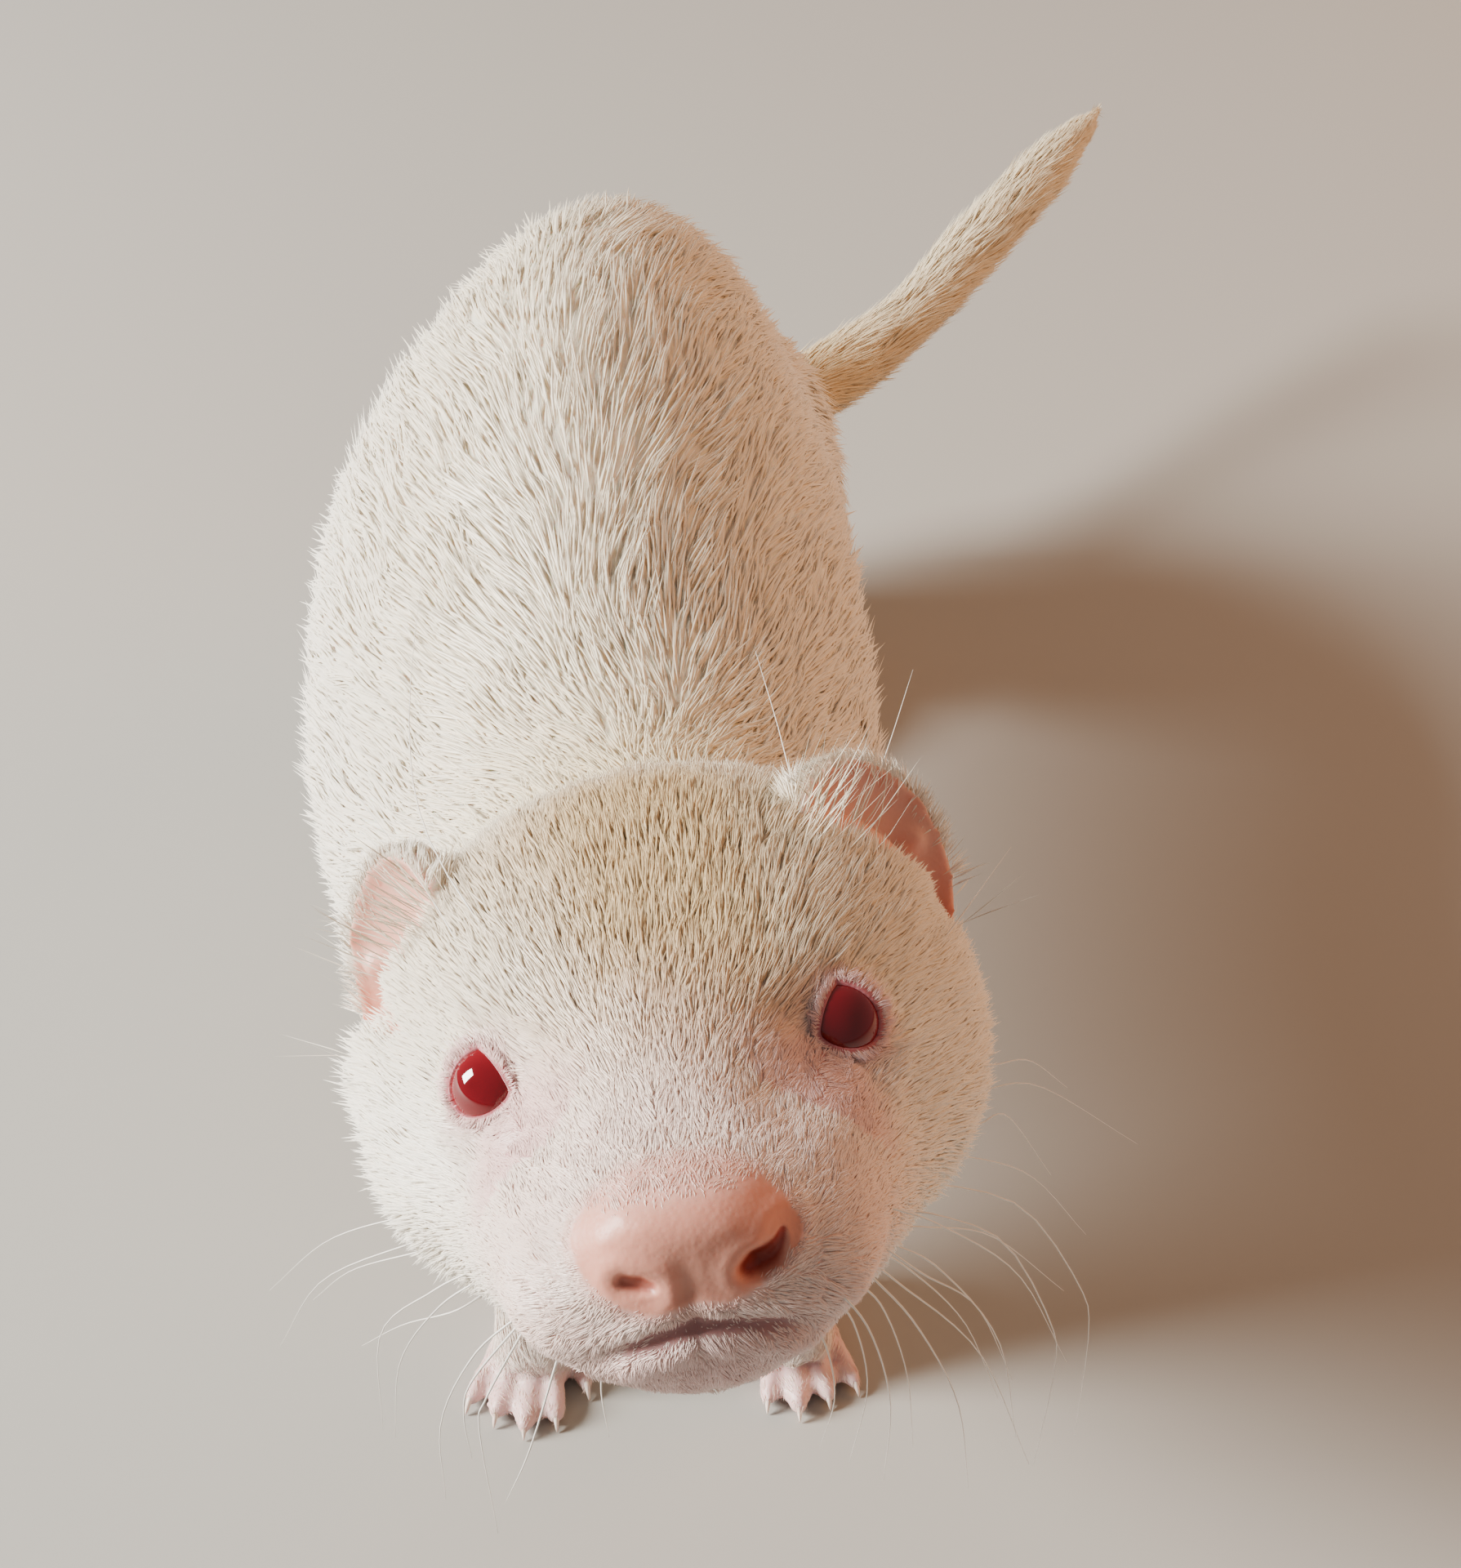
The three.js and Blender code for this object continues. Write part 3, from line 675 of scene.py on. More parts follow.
def refine_face(skin):
    """Finer faces on the front of the head, and finest round the eyes, nose and mouth."""
    def smoothed(strength, low, high, rounds, width):
        points = points_of(skin)
        x, y, _ = to_head(points).T
        local = smooth(-y, low, high) * (np.abs(x) < width)
        set_points(skin, relax(points, edges_of(skin), strength * local, rounds))
        return to_head(points_of(skin))

    x, y, z = to_head(points_of(skin)).T
    split_near(skin, (y < 8) & (np.abs(x) < 32) & (np.abs(z) < 30))
    head = smoothed(0.5, -10, -1, 4, 34)
    near = (head[:, 1] < -22) & (np.abs(head[:, 2] + 6) < 16)
    for side in SIDES.values():
        near |= lengths(head - EYE_AT * (side, 1, 1) + unit(EYE_AXIS * (-side, -1, -1)) * 3) < 8.5
    split_near(skin, near)
    head = smoothed(0.4, 6, 12, 3, np.inf)
    front = np.nonzero(head[:, 1] < -29)[0]
    finest = np.abs(eye_gap(head)) < 0.9
    finest[front] = nostril_distance(head[front])[1] < 1.5
    split_near(skin, finest)
    split_near(skin, np.abs(eye_gap(to_head(points_of(skin)))) < 0.45)


def carve_eyes(head):
    """Lids that wrap each eyeball, with a clean edge round their opening."""
    for side in SIDES.values():
        axis, right, rise, centre = lid_frame(side)
        q = from_eye(head, side)
        near = np.nonzero((q[:, 2] > -1) & (lengths(q) < 10))[0]
        p = q[near]
        flat = p[:, :2] * LID_PLANE / np.maximum(p[:, 2:], 0.5)
        gap, edge = lid_distance(flat, side)
        snap = np.abs(gap) < 0.12
        flat[snap] = edge[snap]
        gap[snap] = 0
        rim = EYE_RADIUS + LID_EDGE + (LID_THICK - LID_EDGE) * smooth(gap, 0, 0.5)
        spare = lengths(p) - EYE_RADIUS - LID_THICK
        outer = EYE_RADIUS + LID_THICK + 0.5 * (spare + np.hypot(spare, 0.4))
        share = smooth(gap, 0.7, 4.4)
        wanted = np.where(gap < 0, EYE_RADIUS - 1.4, rim * (1 - share) + outer * share)
        ray = unit(np.column_stack([flat, np.full(len(flat), LID_PLANE)]))
        p = np.where(snap[:, None], ray, unit(p)) * wanted[:, None]
        head[near] = centre + p[:, :1] * right + p[:, 1:2] * rise + p[:, 2:] * axis


def carve_face(skin):
    """Mouth, lips, philtrum, nostrils and lids."""
    head = to_head(points_of(skin))
    normals = normals_of(skin) @ HEAD_TURN
    front = (head[:, 1] < MOUTH_CORNER) & (np.abs(head[:, 0]) < 26)
    for place, reach, height in FACE_FORMS:
        for side in SIDES.values():
            form = patch(head, np.array(place) * (side, 1, 1), width=reach)
            head = head + normals * (height * form)[:, None]
    head = head - normals * (1.1 * ear_notch(head))[:, None]
    x, y, z = head.T
    gap = mouth_height(head)
    along = smooth(-y, -MOUTH_CORNER, -MOUTH_CORNER + 4) * front * (0.3 + 0.7 * mouth_open(x))
    rise = -0.6 * bell(gap, 0.85) + 0.35 * bell(np.abs(gap) - 1.6, 0.9)
    head = head + normals * (along * rise)[:, None]

    pad = front & (y < -30)
    below_pad = smooth(-z, 8.4, 9.6) * smooth(gap, -0.4, 0.6)
    groove = -0.55 * bell(x, 0.42) * below_pad - 0.3 * bell(x, 0.8) * smooth(-z, 2, 7) * (1 - below_pad)
    head += normals * (pad * groove)[:, None]

    near = np.nonzero((y < -30) & (np.abs(x) < 12) & (z > -12) & (z < 4))[0]
    share, apart, depth = nostril_distance(head[near])
    on_nose = smooth(-y[near], 31, 33)
    hole = depth * (1 - smooth(share, 0.4, 1.6))
    wing = 0.25 * bell(apart - 1.7, 0.7)
    head[near, 1] += hole * on_nose
    head[near] += normals[near] * wing[:, None]
    edge = np.zeros(len(head))
    edge[near] = bell(share - 1, 0.7) * on_nose
    head = relax(head, edges_of(skin), 0.5 * edge, 3)
    carve_eyes(head)
    set_points(skin, from_head(head))


def make_skin():
    def clean(bm):
        bmesh.ops.dissolve_degenerate(bm, dist=1e-6, edges=bm.edges)
        bmesh.ops.remove_doubles(bm, verts=bm.verts, dist=2e-5)

    skin = body_core()
    paw, claws = paws()
    join(skin, [paw] + [ear_cup(name) for name in EARS])
    edited(skin, clean)
    points = points_of(skin)
    ankles = smooth(points[:, 2], 7, 12) * smooth(-points[:, 2], -40, -28)
    set_points(skin, relax(points, edges_of(skin), 0.6 * ankles, 30))
    refine_face(skin)
    carve_face(skin)
    skin.data.shade_smooth()
    return skin, claws


# Eyes

def eyeball(name, side):
    """A ball with a slightly raised cornea, which knows how far each point is off its axis."""
    axis, right, rise, centre = lid_frame(side)
    points, faces = sphere((1, 1, 1), (0, 0, 0), 64, 48)
    radius = EYE_RADIUS * (1 + 0.015 * smooth(np.clip(points[:, 2], 0, 1), 0.6, 1.0))
    points = points * radius[:, None]
    points = points[:, :1] * right + points[:, 1:2] * rise + points[:, 2:] * axis
    ball = facing_out(new_object(name, from_head(points + centre), faces))
    rel = unit(to_head(points_of(ball)) - centre)
    store(ball, "off_axis", np.degrees(np.arccos(np.clip(rel @ axis, -1, 1))) / 90)
    return ball


# How the coat grows

# A tuft's width is the first number, and grows with its length by the second, and by the third past 5 mm.
TUFT_WIDTH = (0.10, 0.024, 0.004)

COAT_WHITE = "#F5F0E6"
COAT_CREAM = "#EADCC2"
NECK_CREAM = "#E2CE9E"
CROWN_TAN = "#C8AA78"
TAIL_CREAM = "#EADABA"
TAIL_ROOT = "#E2CA9C"
SKIN_PINK = "#EBC6BE"
HAIR_PINK = "#EDD3CC"
EYE_HAIR_PINK = "#DFB4B4"
NOSE_PINK = "#D6927E"
NOSTRIL_RED = "#A03C30"
LIP_MAUVE = "#B07D7B"
LID_PINK = "#B8696F"
EAR_PINK = "#E0AA98"
# Redder, darker colour of the lower part of each ear's hollow: partly the ear's own redder skin, partly
# painted shade of the hollow.
EAR_RED_AND_SHADE = "#D48C75"
PAW_PINK = "#E2BDBB"


def ear_fields(points, normals):
    """Where an ear's points lie and which way hairs grow there.

    Gives the share of each point on the inner wall, on the rim and at the front root, and for the last
    two the direction of their hairs, out from the rim and from the root across the opening.
    """
    inside, rim, root = np.zeros((3, len(points)))
    from_rim, from_root = np.zeros((2, len(points), 3))
    head = to_head(points)
    for ear in EARS.values():
        local = (head - ear["at"]) @ ear_turn(ear)
        half, at = ear_hollow(ear)
        hollow = lengths((local - at) / half)
        x, y, z = local.T
        flat = np.hypot(x / EAR_HALF[0], z / EAR_HALF[2])
        near = (flat < 1.3) & (np.abs(y) < EAR_HALF[1])
        inside += near * smooth(-hollow, -1.1, -1.03)
        here = near * bell(y + 1.7, 1.2) * smooth(flat, 0.72, 0.86)
        turn = HEAD_TURN @ ear_turn(ear)
        away = unit(local * (1, 0, 1) + (0, -2.5, 0))
        rim += here
        from_rim += here[:, None] * (away @ turn.T)
        facing = smooth(-(normals @ turn)[:, 1], 0.3, 0.6)
        here = bell(y + 3.4, 1.7) * facing * (flat < 1.2) * (z > -8)
        here = here * smooth(hollow, 1.03, 1.1)
        root += here * (here > 0.2)
        from_root += here[:, None] * (turn @ np.array([ear["side"] * 0.85, -0.5, 0.4]))
    return inside, rim, root, unit(from_rim), unit(from_root)


def wander(points, sizes, seed):
    """Smooth random vectors, the same in every run, whose patches have the given sizes in millimetres."""
    noise.seed_set(seed)
    scaled = points / np.asarray(sizes) + seed * 17.3
    return np.array([noise.noise_vector(Vector(p)) for p in scaled])


def tinted(base, layers):
    """The base's colours under layers, each of a colour and its share in each point."""
    for colour, share in layers:
        base = base * (1 - share[:, None]) + np.array(linear(colour)) * share[:, None]
    return base


ATTRIBUTES = {1: ("FLOAT", "value"), 3: ("FLOAT_VECTOR", "vector"), 4: ("FLOAT_COLOR", "color")}


def store(obj, name, values):
    """Keeps one value, vector or colour for each point of the object's mesh."""
    kind, key = ATTRIBUTES[1 if values.ndim == 1 else values.shape[1]]
    attribute = obj.data.attributes.new(name, kind, "POINT")
    attribute.data.foreach_set(key, np.ascontiguousarray(values, np.float32).ravel())


def stored(obj, name, width=1):
    values = values_of(obj.data.attributes[name].data, ATTRIBUTES[width][1], width, np.float32)
    return values[:, 0] if width == 1 else values


def path_direction(points, stations):
    """The direction of a path at its point nearest to each of the given ones."""
    route = spline(stations, 80) + ORIGIN
    along = unit(np.gradient(route, axis=0))
    nearest = np.zeros(len(points), int)
    for start in range(0, len(points), 20000):
        block = points[start:start + 20000]
        nearest[start:start + 20000] = ((block[:, None] - route[None]) ** 2).sum(2).argmin(1)
    return along[nearest]


def along_skin(vectors, normals):
    return unit(vectors - normals * (vectors * normals).sum(1)[:, None])


def coat_lie(points, label, normals, edges, gap):
    """The way the hairs lie along the skin, from the nose to the tail and down the legs to the toes."""
    lie = path_direction(points, SPINE) + np.array([0, 0, -0.45])
    tail = is_part(label, "tail")
    lie[tail] = path_direction(points[tail], TAIL) + np.array([0, 0, -0.1])
    lie[is_part(label, *FACE)] = HEAD_TURN @ (0, 1, -0.12)
    lie[is_part(label, "lower_jaw")] = HEAD_TURN @ (0, 0.45, -0.9)
    lie[is_part(label, "foreleg")] = (0, 0.2, -1)
    lie[is_part(label, "hindleg")] = (0.15, 0.3, -1)
    lie[is_part(label, "forepaw", "hindfoot")] = (0.05, -1, -0.45)
    for name, ear in EARS.items():
        lie[is_part(label, f"ear_{name}")] = HEAD_TURN @ ear_turn(ear) @ (0, -0.1, 1)
    lie = unit(lie)
    for _ in range(5):
        lie = relax(along_skin(lie, normals), edges, 0.6, 8)
    trunk = is_part(label, *TRUNK, "tail", "foreleg", "hindleg")
    sway = wander(points, (9, 22, 9), 1) * 0.42 + wander(points, (3.5, 8, 3.5), 2) * 0.25
    lie = lie + sway * (0.45 + 0.55 * relax(trunk, edges, 0.5, 10))[:, None]
    lie = along_skin(lie, normals)
    for side in SIDES.values():
        axis, _, _, centre = lid_frame(side)
        rel = to_head(points) - centre
        from_lids = along_skin((rel - np.outer(rel @ axis, axis)) @ HEAD_TURN.T, normals)
        close = (0.65 * bell(gap, 0.8) * (lengths(rel) < 9))[:, None]
        lie = unit(lie * (1 - close) + from_lids * close)
    return lie


def coat_fields(skin):
    """Keeps on the skin the coat's direction, length, cover and colours."""
    points, edges, normals = points_of(skin), edges_of(skin), normals_of(skin)
    label = nearest_node(points, ALL_NODES)
    head = to_head(points)
    x, y, z = head.T
    down = -points[:, 2]
    on_head, on_ear = is_part(label, *FACE), is_part(label, "ear")
    on_paw, tail = is_part(label, "forepaw", "hindfoot"), is_part(label, "tail")

    def soft(values, rounds):
        return relax(values, edges, 0.5, rounds)

    inside, rim, ear_root, from_rim, from_root = ear_fields(points, normals)
    rim = rim * soft(on_ear, 3)
    gap = np.maximum(eye_gap(head), 0)
    lie = coat_lie(points, label, normals, edges, gap)
    lips = bell(mouth_height(head), 1.5) * smooth(-y, -MOUTH_CORNER - 2, -MOUTH_CORNER + 3) * on_head
    parted = mouth_open(x) * smooth(lips, 0.48, 0.85)
    pad = soft(is_part(label, "nose"), 12) * smooth(-y, 32.5, 35.5) - 0.45 * smooth(z, -2.5, 1.5)
    share, apart = np.ones(len(points)), np.full(len(points), 9.0)
    nose_near = np.nonzero((y < -28) & on_head)[0]
    share[nose_near], apart[nose_near], _ = nostril_distance(head[nose_near])
    pad = np.maximum(pad, smooth(-apart, -2.2, -1.0) * smooth(-y, 30, 32))
    cheek = patch(head, *CHEEKS) * smooth(np.abs(x), 17, 26)
    cheek = cheek * (0.35 + 0.65 * smooth(-x, -30, 10)) + 1.3 * patch(head, *RIGHT_TUFT)
    notch = ear_notch(head) * on_head
    along_tail = lengths(points - ORIGIN - TAIL[0])

    length = np.where(on_head, 4.5 - 3.1 * smooth(-y, 4, 32) + 2.2 * cheek, by_part(LENGTH, label))
    length = soft(length, 30)
    for shorter in (
            0.6 * tail * smooth(along_tail, 95, 125), 0.35 * on_paw * smooth(down, -7, -3),
            0.45 * smooth(pad, 0.02, 0.3), 0.75 * bell(gap, 1.8), 0.6 * lips * mouth_open(x),
            -0.25 * rim, 0.5 * smooth(notch, 0.02, 0.25), -0.22 * wander(points, (4, 4, 4), 3)[:, 0]):
        length = length * (1 - shorter)
    width = TUFT_WIDTH[0] + TUFT_WIDTH[1] * length + TUFT_WIDTH[2] * np.maximum(length - 5, 0)

    lift = soft(by_part(LIFT, label), 20)
    top = patch(head, *CROWN_HAIR) * on_head
    lift = lift + 16 * cheek + 3 * top + 4 * wander(points, (6, 12, 6), 4)[:, 0] * (1 - on_head)
    lift = np.radians(np.maximum(lift, 8))
    growth = lie * np.cos(lift)[:, None] + normals * np.sin(lift)[:, None]
    growth = unit(growth * (1 - rim)[:, None] + from_rim * rim[:, None])

    sole = on_paw * smooth(down, -2.4, -0.8) * smooth(-normals[:, 2], 0.1, 0.5)
    bare = np.clip(smooth(pad, 0.3, 0.75) + (gap < 0.12), 0, 1)
    covered = (1 - bare) * (1 - 0.95 * parted) * (1 - 0.9 * smooth(notch, 0.3, 0.6))
    covered = covered * (1 - sole) * (1 - inside * (1 - rim))
    crown = bell(np.hypot(x / 19, (y - 2) / 17), 1.0) + bell(np.hypot((x - 2.5) / 11, (y + 20) / 13), 1.0)
    crown = np.minimum(crown, 1) * smooth(z, 0, 9) * on_head
    toes = on_paw * smooth(down, -5.5, -3)
    cover = covered * soft(by_part(LAYERS, label), 20) * (1 - 0.8 * toes) * (1 + 0.55 * crown)
    cover = cover / (0.5 * width * length)

    trunk = is_part(label, *TRUNK)
    nape = patch(points - ORIGIN, *NAPE) * trunk
    toes = soft(on_paw, 6) * smooth(down, -6, -2.5)
    lower_leg = is_part(label, "foreleg", "hindleg", "forepaw", "hindfoot") * smooth(down, -30, -8)
    coat = tinted(np.tile(linear(COAT_WHITE), (len(points), 1)), (
        (COAT_CREAM, soft(0.55 * (smooth(normals[:, 2], 0.3, 0.95) * trunk), 20)),
        (NECK_CREAM, soft(0.75 * nape, 20)),
        (CROWN_TAN, 0.88 * soft(crown, 10)),
        (TAIL_CREAM, soft(tail * 0.9, 14)),
        (TAIL_ROOT, soft(tail, 10) * bell(along_tail - 14, 22) * 0.7),
        (HAIR_PINK, 0.8 * smooth(-y, 12, 32) * on_head),
        (EYE_HAIR_PINK, 0.85 * bell(gap, 1.9 + 0.8 * smooth(-y, 13, 17))),
        (NOSE_PINK, 0.4 * smooth(pad, 0.05, 0.4)),
        (EYE_HAIR_PINK, 0.7 * (patch(head, *CHIN) * on_head)),
        (HAIR_PINK, 0.85 * toes),
        (HAIR_PINK, 0.45 * soft(lower_leg, 10)),
    ))
    dark = smooth(-share, -1.35, -0.6) * (1 - 0.45 * (x < NOSE_TURN))
    flesh = tinted(coat, (
        (SKIN_PINK, 0.6 * smooth(-y, -8, 22) * on_head),
        (SKIN_PINK, 0.8 * smooth(-y, 22, 32) * on_head * (1 - pad)),
        (PAW_PINK, np.clip(toes + 0.35 * on_paw, 0, 1)),
        (EYE_HAIR_PINK, 0.9 * bell(gap, 2.4)),
        (LID_PINK, bell(np.maximum(gap - 0.2, 0), 0.8)),
        (EAR_PINK, np.clip(inside + 0.5 * on_ear, 0, 1)),
        # The lower part of each ear's hollow is redder and darker: its own redder skin, with painted shade of
        # the hollow.
        (EAR_RED_AND_SHADE, inside * smooth(-z, -12, -5)),
        (EAR_PINK, smooth(notch, 0.2, 0.6)),
        (LIP_MAUVE, smooth(lips, 0.05, 0.9) * (1 - smooth(pad, 0.3, 0.7)) * mouth_open(x)),
        (NOSE_PINK, smooth(pad, 0.2, 0.8)),
        (NOSTRIL_RED, dark * (apart < 2.5) * (y < -30)),
    ))
    for name, values in (
            ("growth", growth), ("length", length * MM), ("width", width * MM), ("cover", cover / MM**2),
            ("coat_colour", np.column_stack([coat, np.ones(len(coat))])),
            ("skin_colour", np.column_stack([flesh, np.ones(len(flesh))])),
            ("on_face", soft(on_head | on_ear, 6)), ("ear_root", ear_root),
            ("ear_way", unit(from_root + 0.35 * normals))):
        store(skin, name, values)


# Node trees

def feed(tree, node, inputs):
    """Sets a node's inputs, by name or index, to values or to what other nodes or sockets give."""
    for key, value in inputs.items():
        socket = node.inputs[key] if isinstance(key, int) else next(
            s for s in node.inputs if s.name == key and s.enabled)
        if isinstance(value, bpy.types.Node):
            value = next(s for s in value.outputs if s.enabled)
        if isinstance(value, bpy.types.NodeSocket):
            tree.links.new(value, socket)
        else:
            socket.default_value = value


def add(tree, kind, inputs=None, **settings):
    node = tree.nodes.new(kind)
    for name, value in settings.items():
        setattr(node, name, value)
    feed(tree, node, inputs or {})
    return node


def kept(tree, name):
    return add(tree, "ShaderNodeAttribute", attribute_name=name)


def texture(tree, kind, scale, detail=None, **settings):
    """A texture in the object's own space."""
    place = add(tree, "ShaderNodeTexCoord").outputs["Object"]
    inputs = {"Detail": detail} if detail else {}
    return add(tree, f"ShaderNodeTex{kind}", {"Vector": place, "Scale": scale, **inputs}, **settings)


def mix(tree, factor, a, b, **settings):
    return add(tree, "ShaderNodeMix", {"Factor": factor, "A": a, "B": b}, data_type="RGBA", **settings)


def varied(tree, colour, by, low, high):
    """The colour, darker or lighter by a value."""
    value = add(tree, "ShaderNodeMapRange", {"Value": by, "To Min": low, "To Max": high})
    return add(tree, "ShaderNodeHueSaturation", {"Value": value, "Color": colour})


def material(name):
    made = bpy.data.materials.new(name)
    made.use_nodes = True
    tree = made.node_tree
    return made, tree, tree.nodes["Principled BSDF"]


def coat_material():
    """Unpigmented guard hair: matt white to cream, hardly darker at the root, with a soft gloss."""
    made, tree, shader = material("white_guard_hair")
    tint = kept(tree, "coat_colour")
    root = mix(tree, 1.0, tint, opaque("#F8F2EA"), blend_type="MULTIPLY")
    along = mix(tree, kept(tree, "tip").outputs["Fac"], root, tint)
    colour = varied(tree, along, kept(tree, "tone").outputs["Fac"], 0.94, 1.05)
    feed(tree, shader, {"Base Color": colour, "Roughness": 0.42, "IOR": 1.55})
    return made


def skin_material():
    """Thin living skin: pink and faintly moist where bare, with fine creases, and pale under the coat."""
    made, tree, shader = material("ferret_skin")
    blotch = texture(tree, "Noise", 350.0, 4.0)
    pores = texture(tree, "Voronoi", 2200.0, feature="SMOOTH_F1")
    creases = texture(tree, "Noise", 900.0, 5.0)
    relief = add(tree, "ShaderNodeMath", {0: pores, 1: creases}, operation="ADD")
    feed(tree, shader, {
        "Base Color": varied(tree, kept(tree, "skin_colour"), blotch, 0.95, 1.05),
        "Normal": add(tree, "ShaderNodeBump", {"Strength": 0.2, "Distance": 0.00015, "Height": relief}),
        "Roughness": 0.42, "Subsurface Weight": 0.3, "Subsurface Radius": (1.0, 0.35, 0.22),
        "Subsurface Scale": 0.0018,
    })
    return made


def eye_material():
    """An unpigmented eye: the cornea's wet gloss over blood-red depths, darkest in the pupil."""
    made, tree, shader = material("albino_eye_cornea")
    ramp = add(tree, "ShaderNodeValToRGB", {"Fac": kept(tree, "off_axis").outputs["Fac"]})
    elements = ramp.color_ramp.elements
    elements[0].color = opaque("#58060F")
    elements[1].color = opaque("#901C2A")
    for position, colour in ((0.25, "#650914"), (0.5, "#7C101B")):
        elements.new(position).color = opaque(colour)
    feed(tree, shader, {"Base Color": ramp, "Roughness": 0.06, "IOR": 1.376, "Coat Weight": 1.0,
                        "Coat Roughness": 0.02})
    return made


def keratin(name, scale, detail, dark, light, inputs):
    """Horny matter of two tones, by a fine grain."""
    made, tree, shader = material(name)
    colour = mix(tree, texture(tree, "Noise", scale, detail), opaque(dark), opaque(light))
    feed(tree, shader, {"Base Color": colour, "IOR": 1.55, **inputs})
    return made


def horn_material():
    """Unpigmented claw keratin: pale, slightly pink and glossy."""
    return keratin("claw_keratin", 1500.0, 3.0, "#EACDC2", "#F3E6DC",
                   {"Roughness": 0.4, "Subsurface Weight": 0.2, "Subsurface Scale": 0.0006})


def whisker_material():
    """A stiff clear-white hair: smooth keratin that catches a bright line of light."""
    return keratin("white_whisker", 300.0, 2.0, "#E9E2D8", "#F8F5F0", {"Roughness": 0.3})


def paint(obj, made):
    obj.data.materials.clear()
    obj.data.materials.append(made)


# Coat

TUFT_WIDEST = 0.42
TUFT_RIDGE = 0.2
FLOOR_GAP = 0.0003
# The side of the square that each tuft takes up in its texture map.
TUFT_CHART = 0.003
# What stays on the coat's meshes.
COAT_KEEPS = {"position", "coat_colour", "tip", "tone", "OFBake", "sharp_face", "material_index",
              ".corner_vert", ".corner_edge", ".edge_verts"}
HEAD_COAT = {"Scatter": 0.12, "Curl": 0.10, "Gather": 0.30, "Lock Size": 0.0022, "Wave": 0.35}
BODY_COAT = {"Scatter": 0.12, "Curl": 0.08, "Gather": 0.26, "Lock Size": 0.0045, "Wave": 0.28}
EAR_COAT = {"Scatter": 0.34, "Curl": 0.0, "Gather": 0.2, "Lock Size": 0.003, "Wave": 0.6}
COAT_LAYERS = 4
# The long hairs of the ears: how many grow on a square millimetre, their length and their width.
EAR_HAIRS = 3.8
EAR_HAIR = 9.5
EAR_HAIR_WIDTH = 0.14


def tuft_shape():
    """A flat lock of a few hairs, 1 wide and 1 long, that grows along +Z with its low ridge on +X."""
    wide = TUFT_WIDEST
    points = [(0, 0, 0), (0, -0.5, wide), (0, 0.5, wide), (TUFT_RIDGE, 0, wide), (0, 0, 1)]
    faces = [(0, 1, 2), (1, 4, 2), (0, 2, 3), (0, 3, 1), (2, 4, 3), (3, 4, 1)]
    mesh = bpy.data.meshes.new("tuft")
    mesh.from_pydata(points, [], faces)
    tuft = bpy.data.objects.new("tuft", mesh)
    store(tuft, "tip", np.array(points, float)[:, 2])
    chart = mesh.attributes.new("chart", "FLOAT_VECTOR", "CORNER")
    for loop in mesh.loops:
        _, across, along = points[loop.vertex_index]
        chart.data[loop.index].vector = (across, along - 0.5, 0)
    return tuft


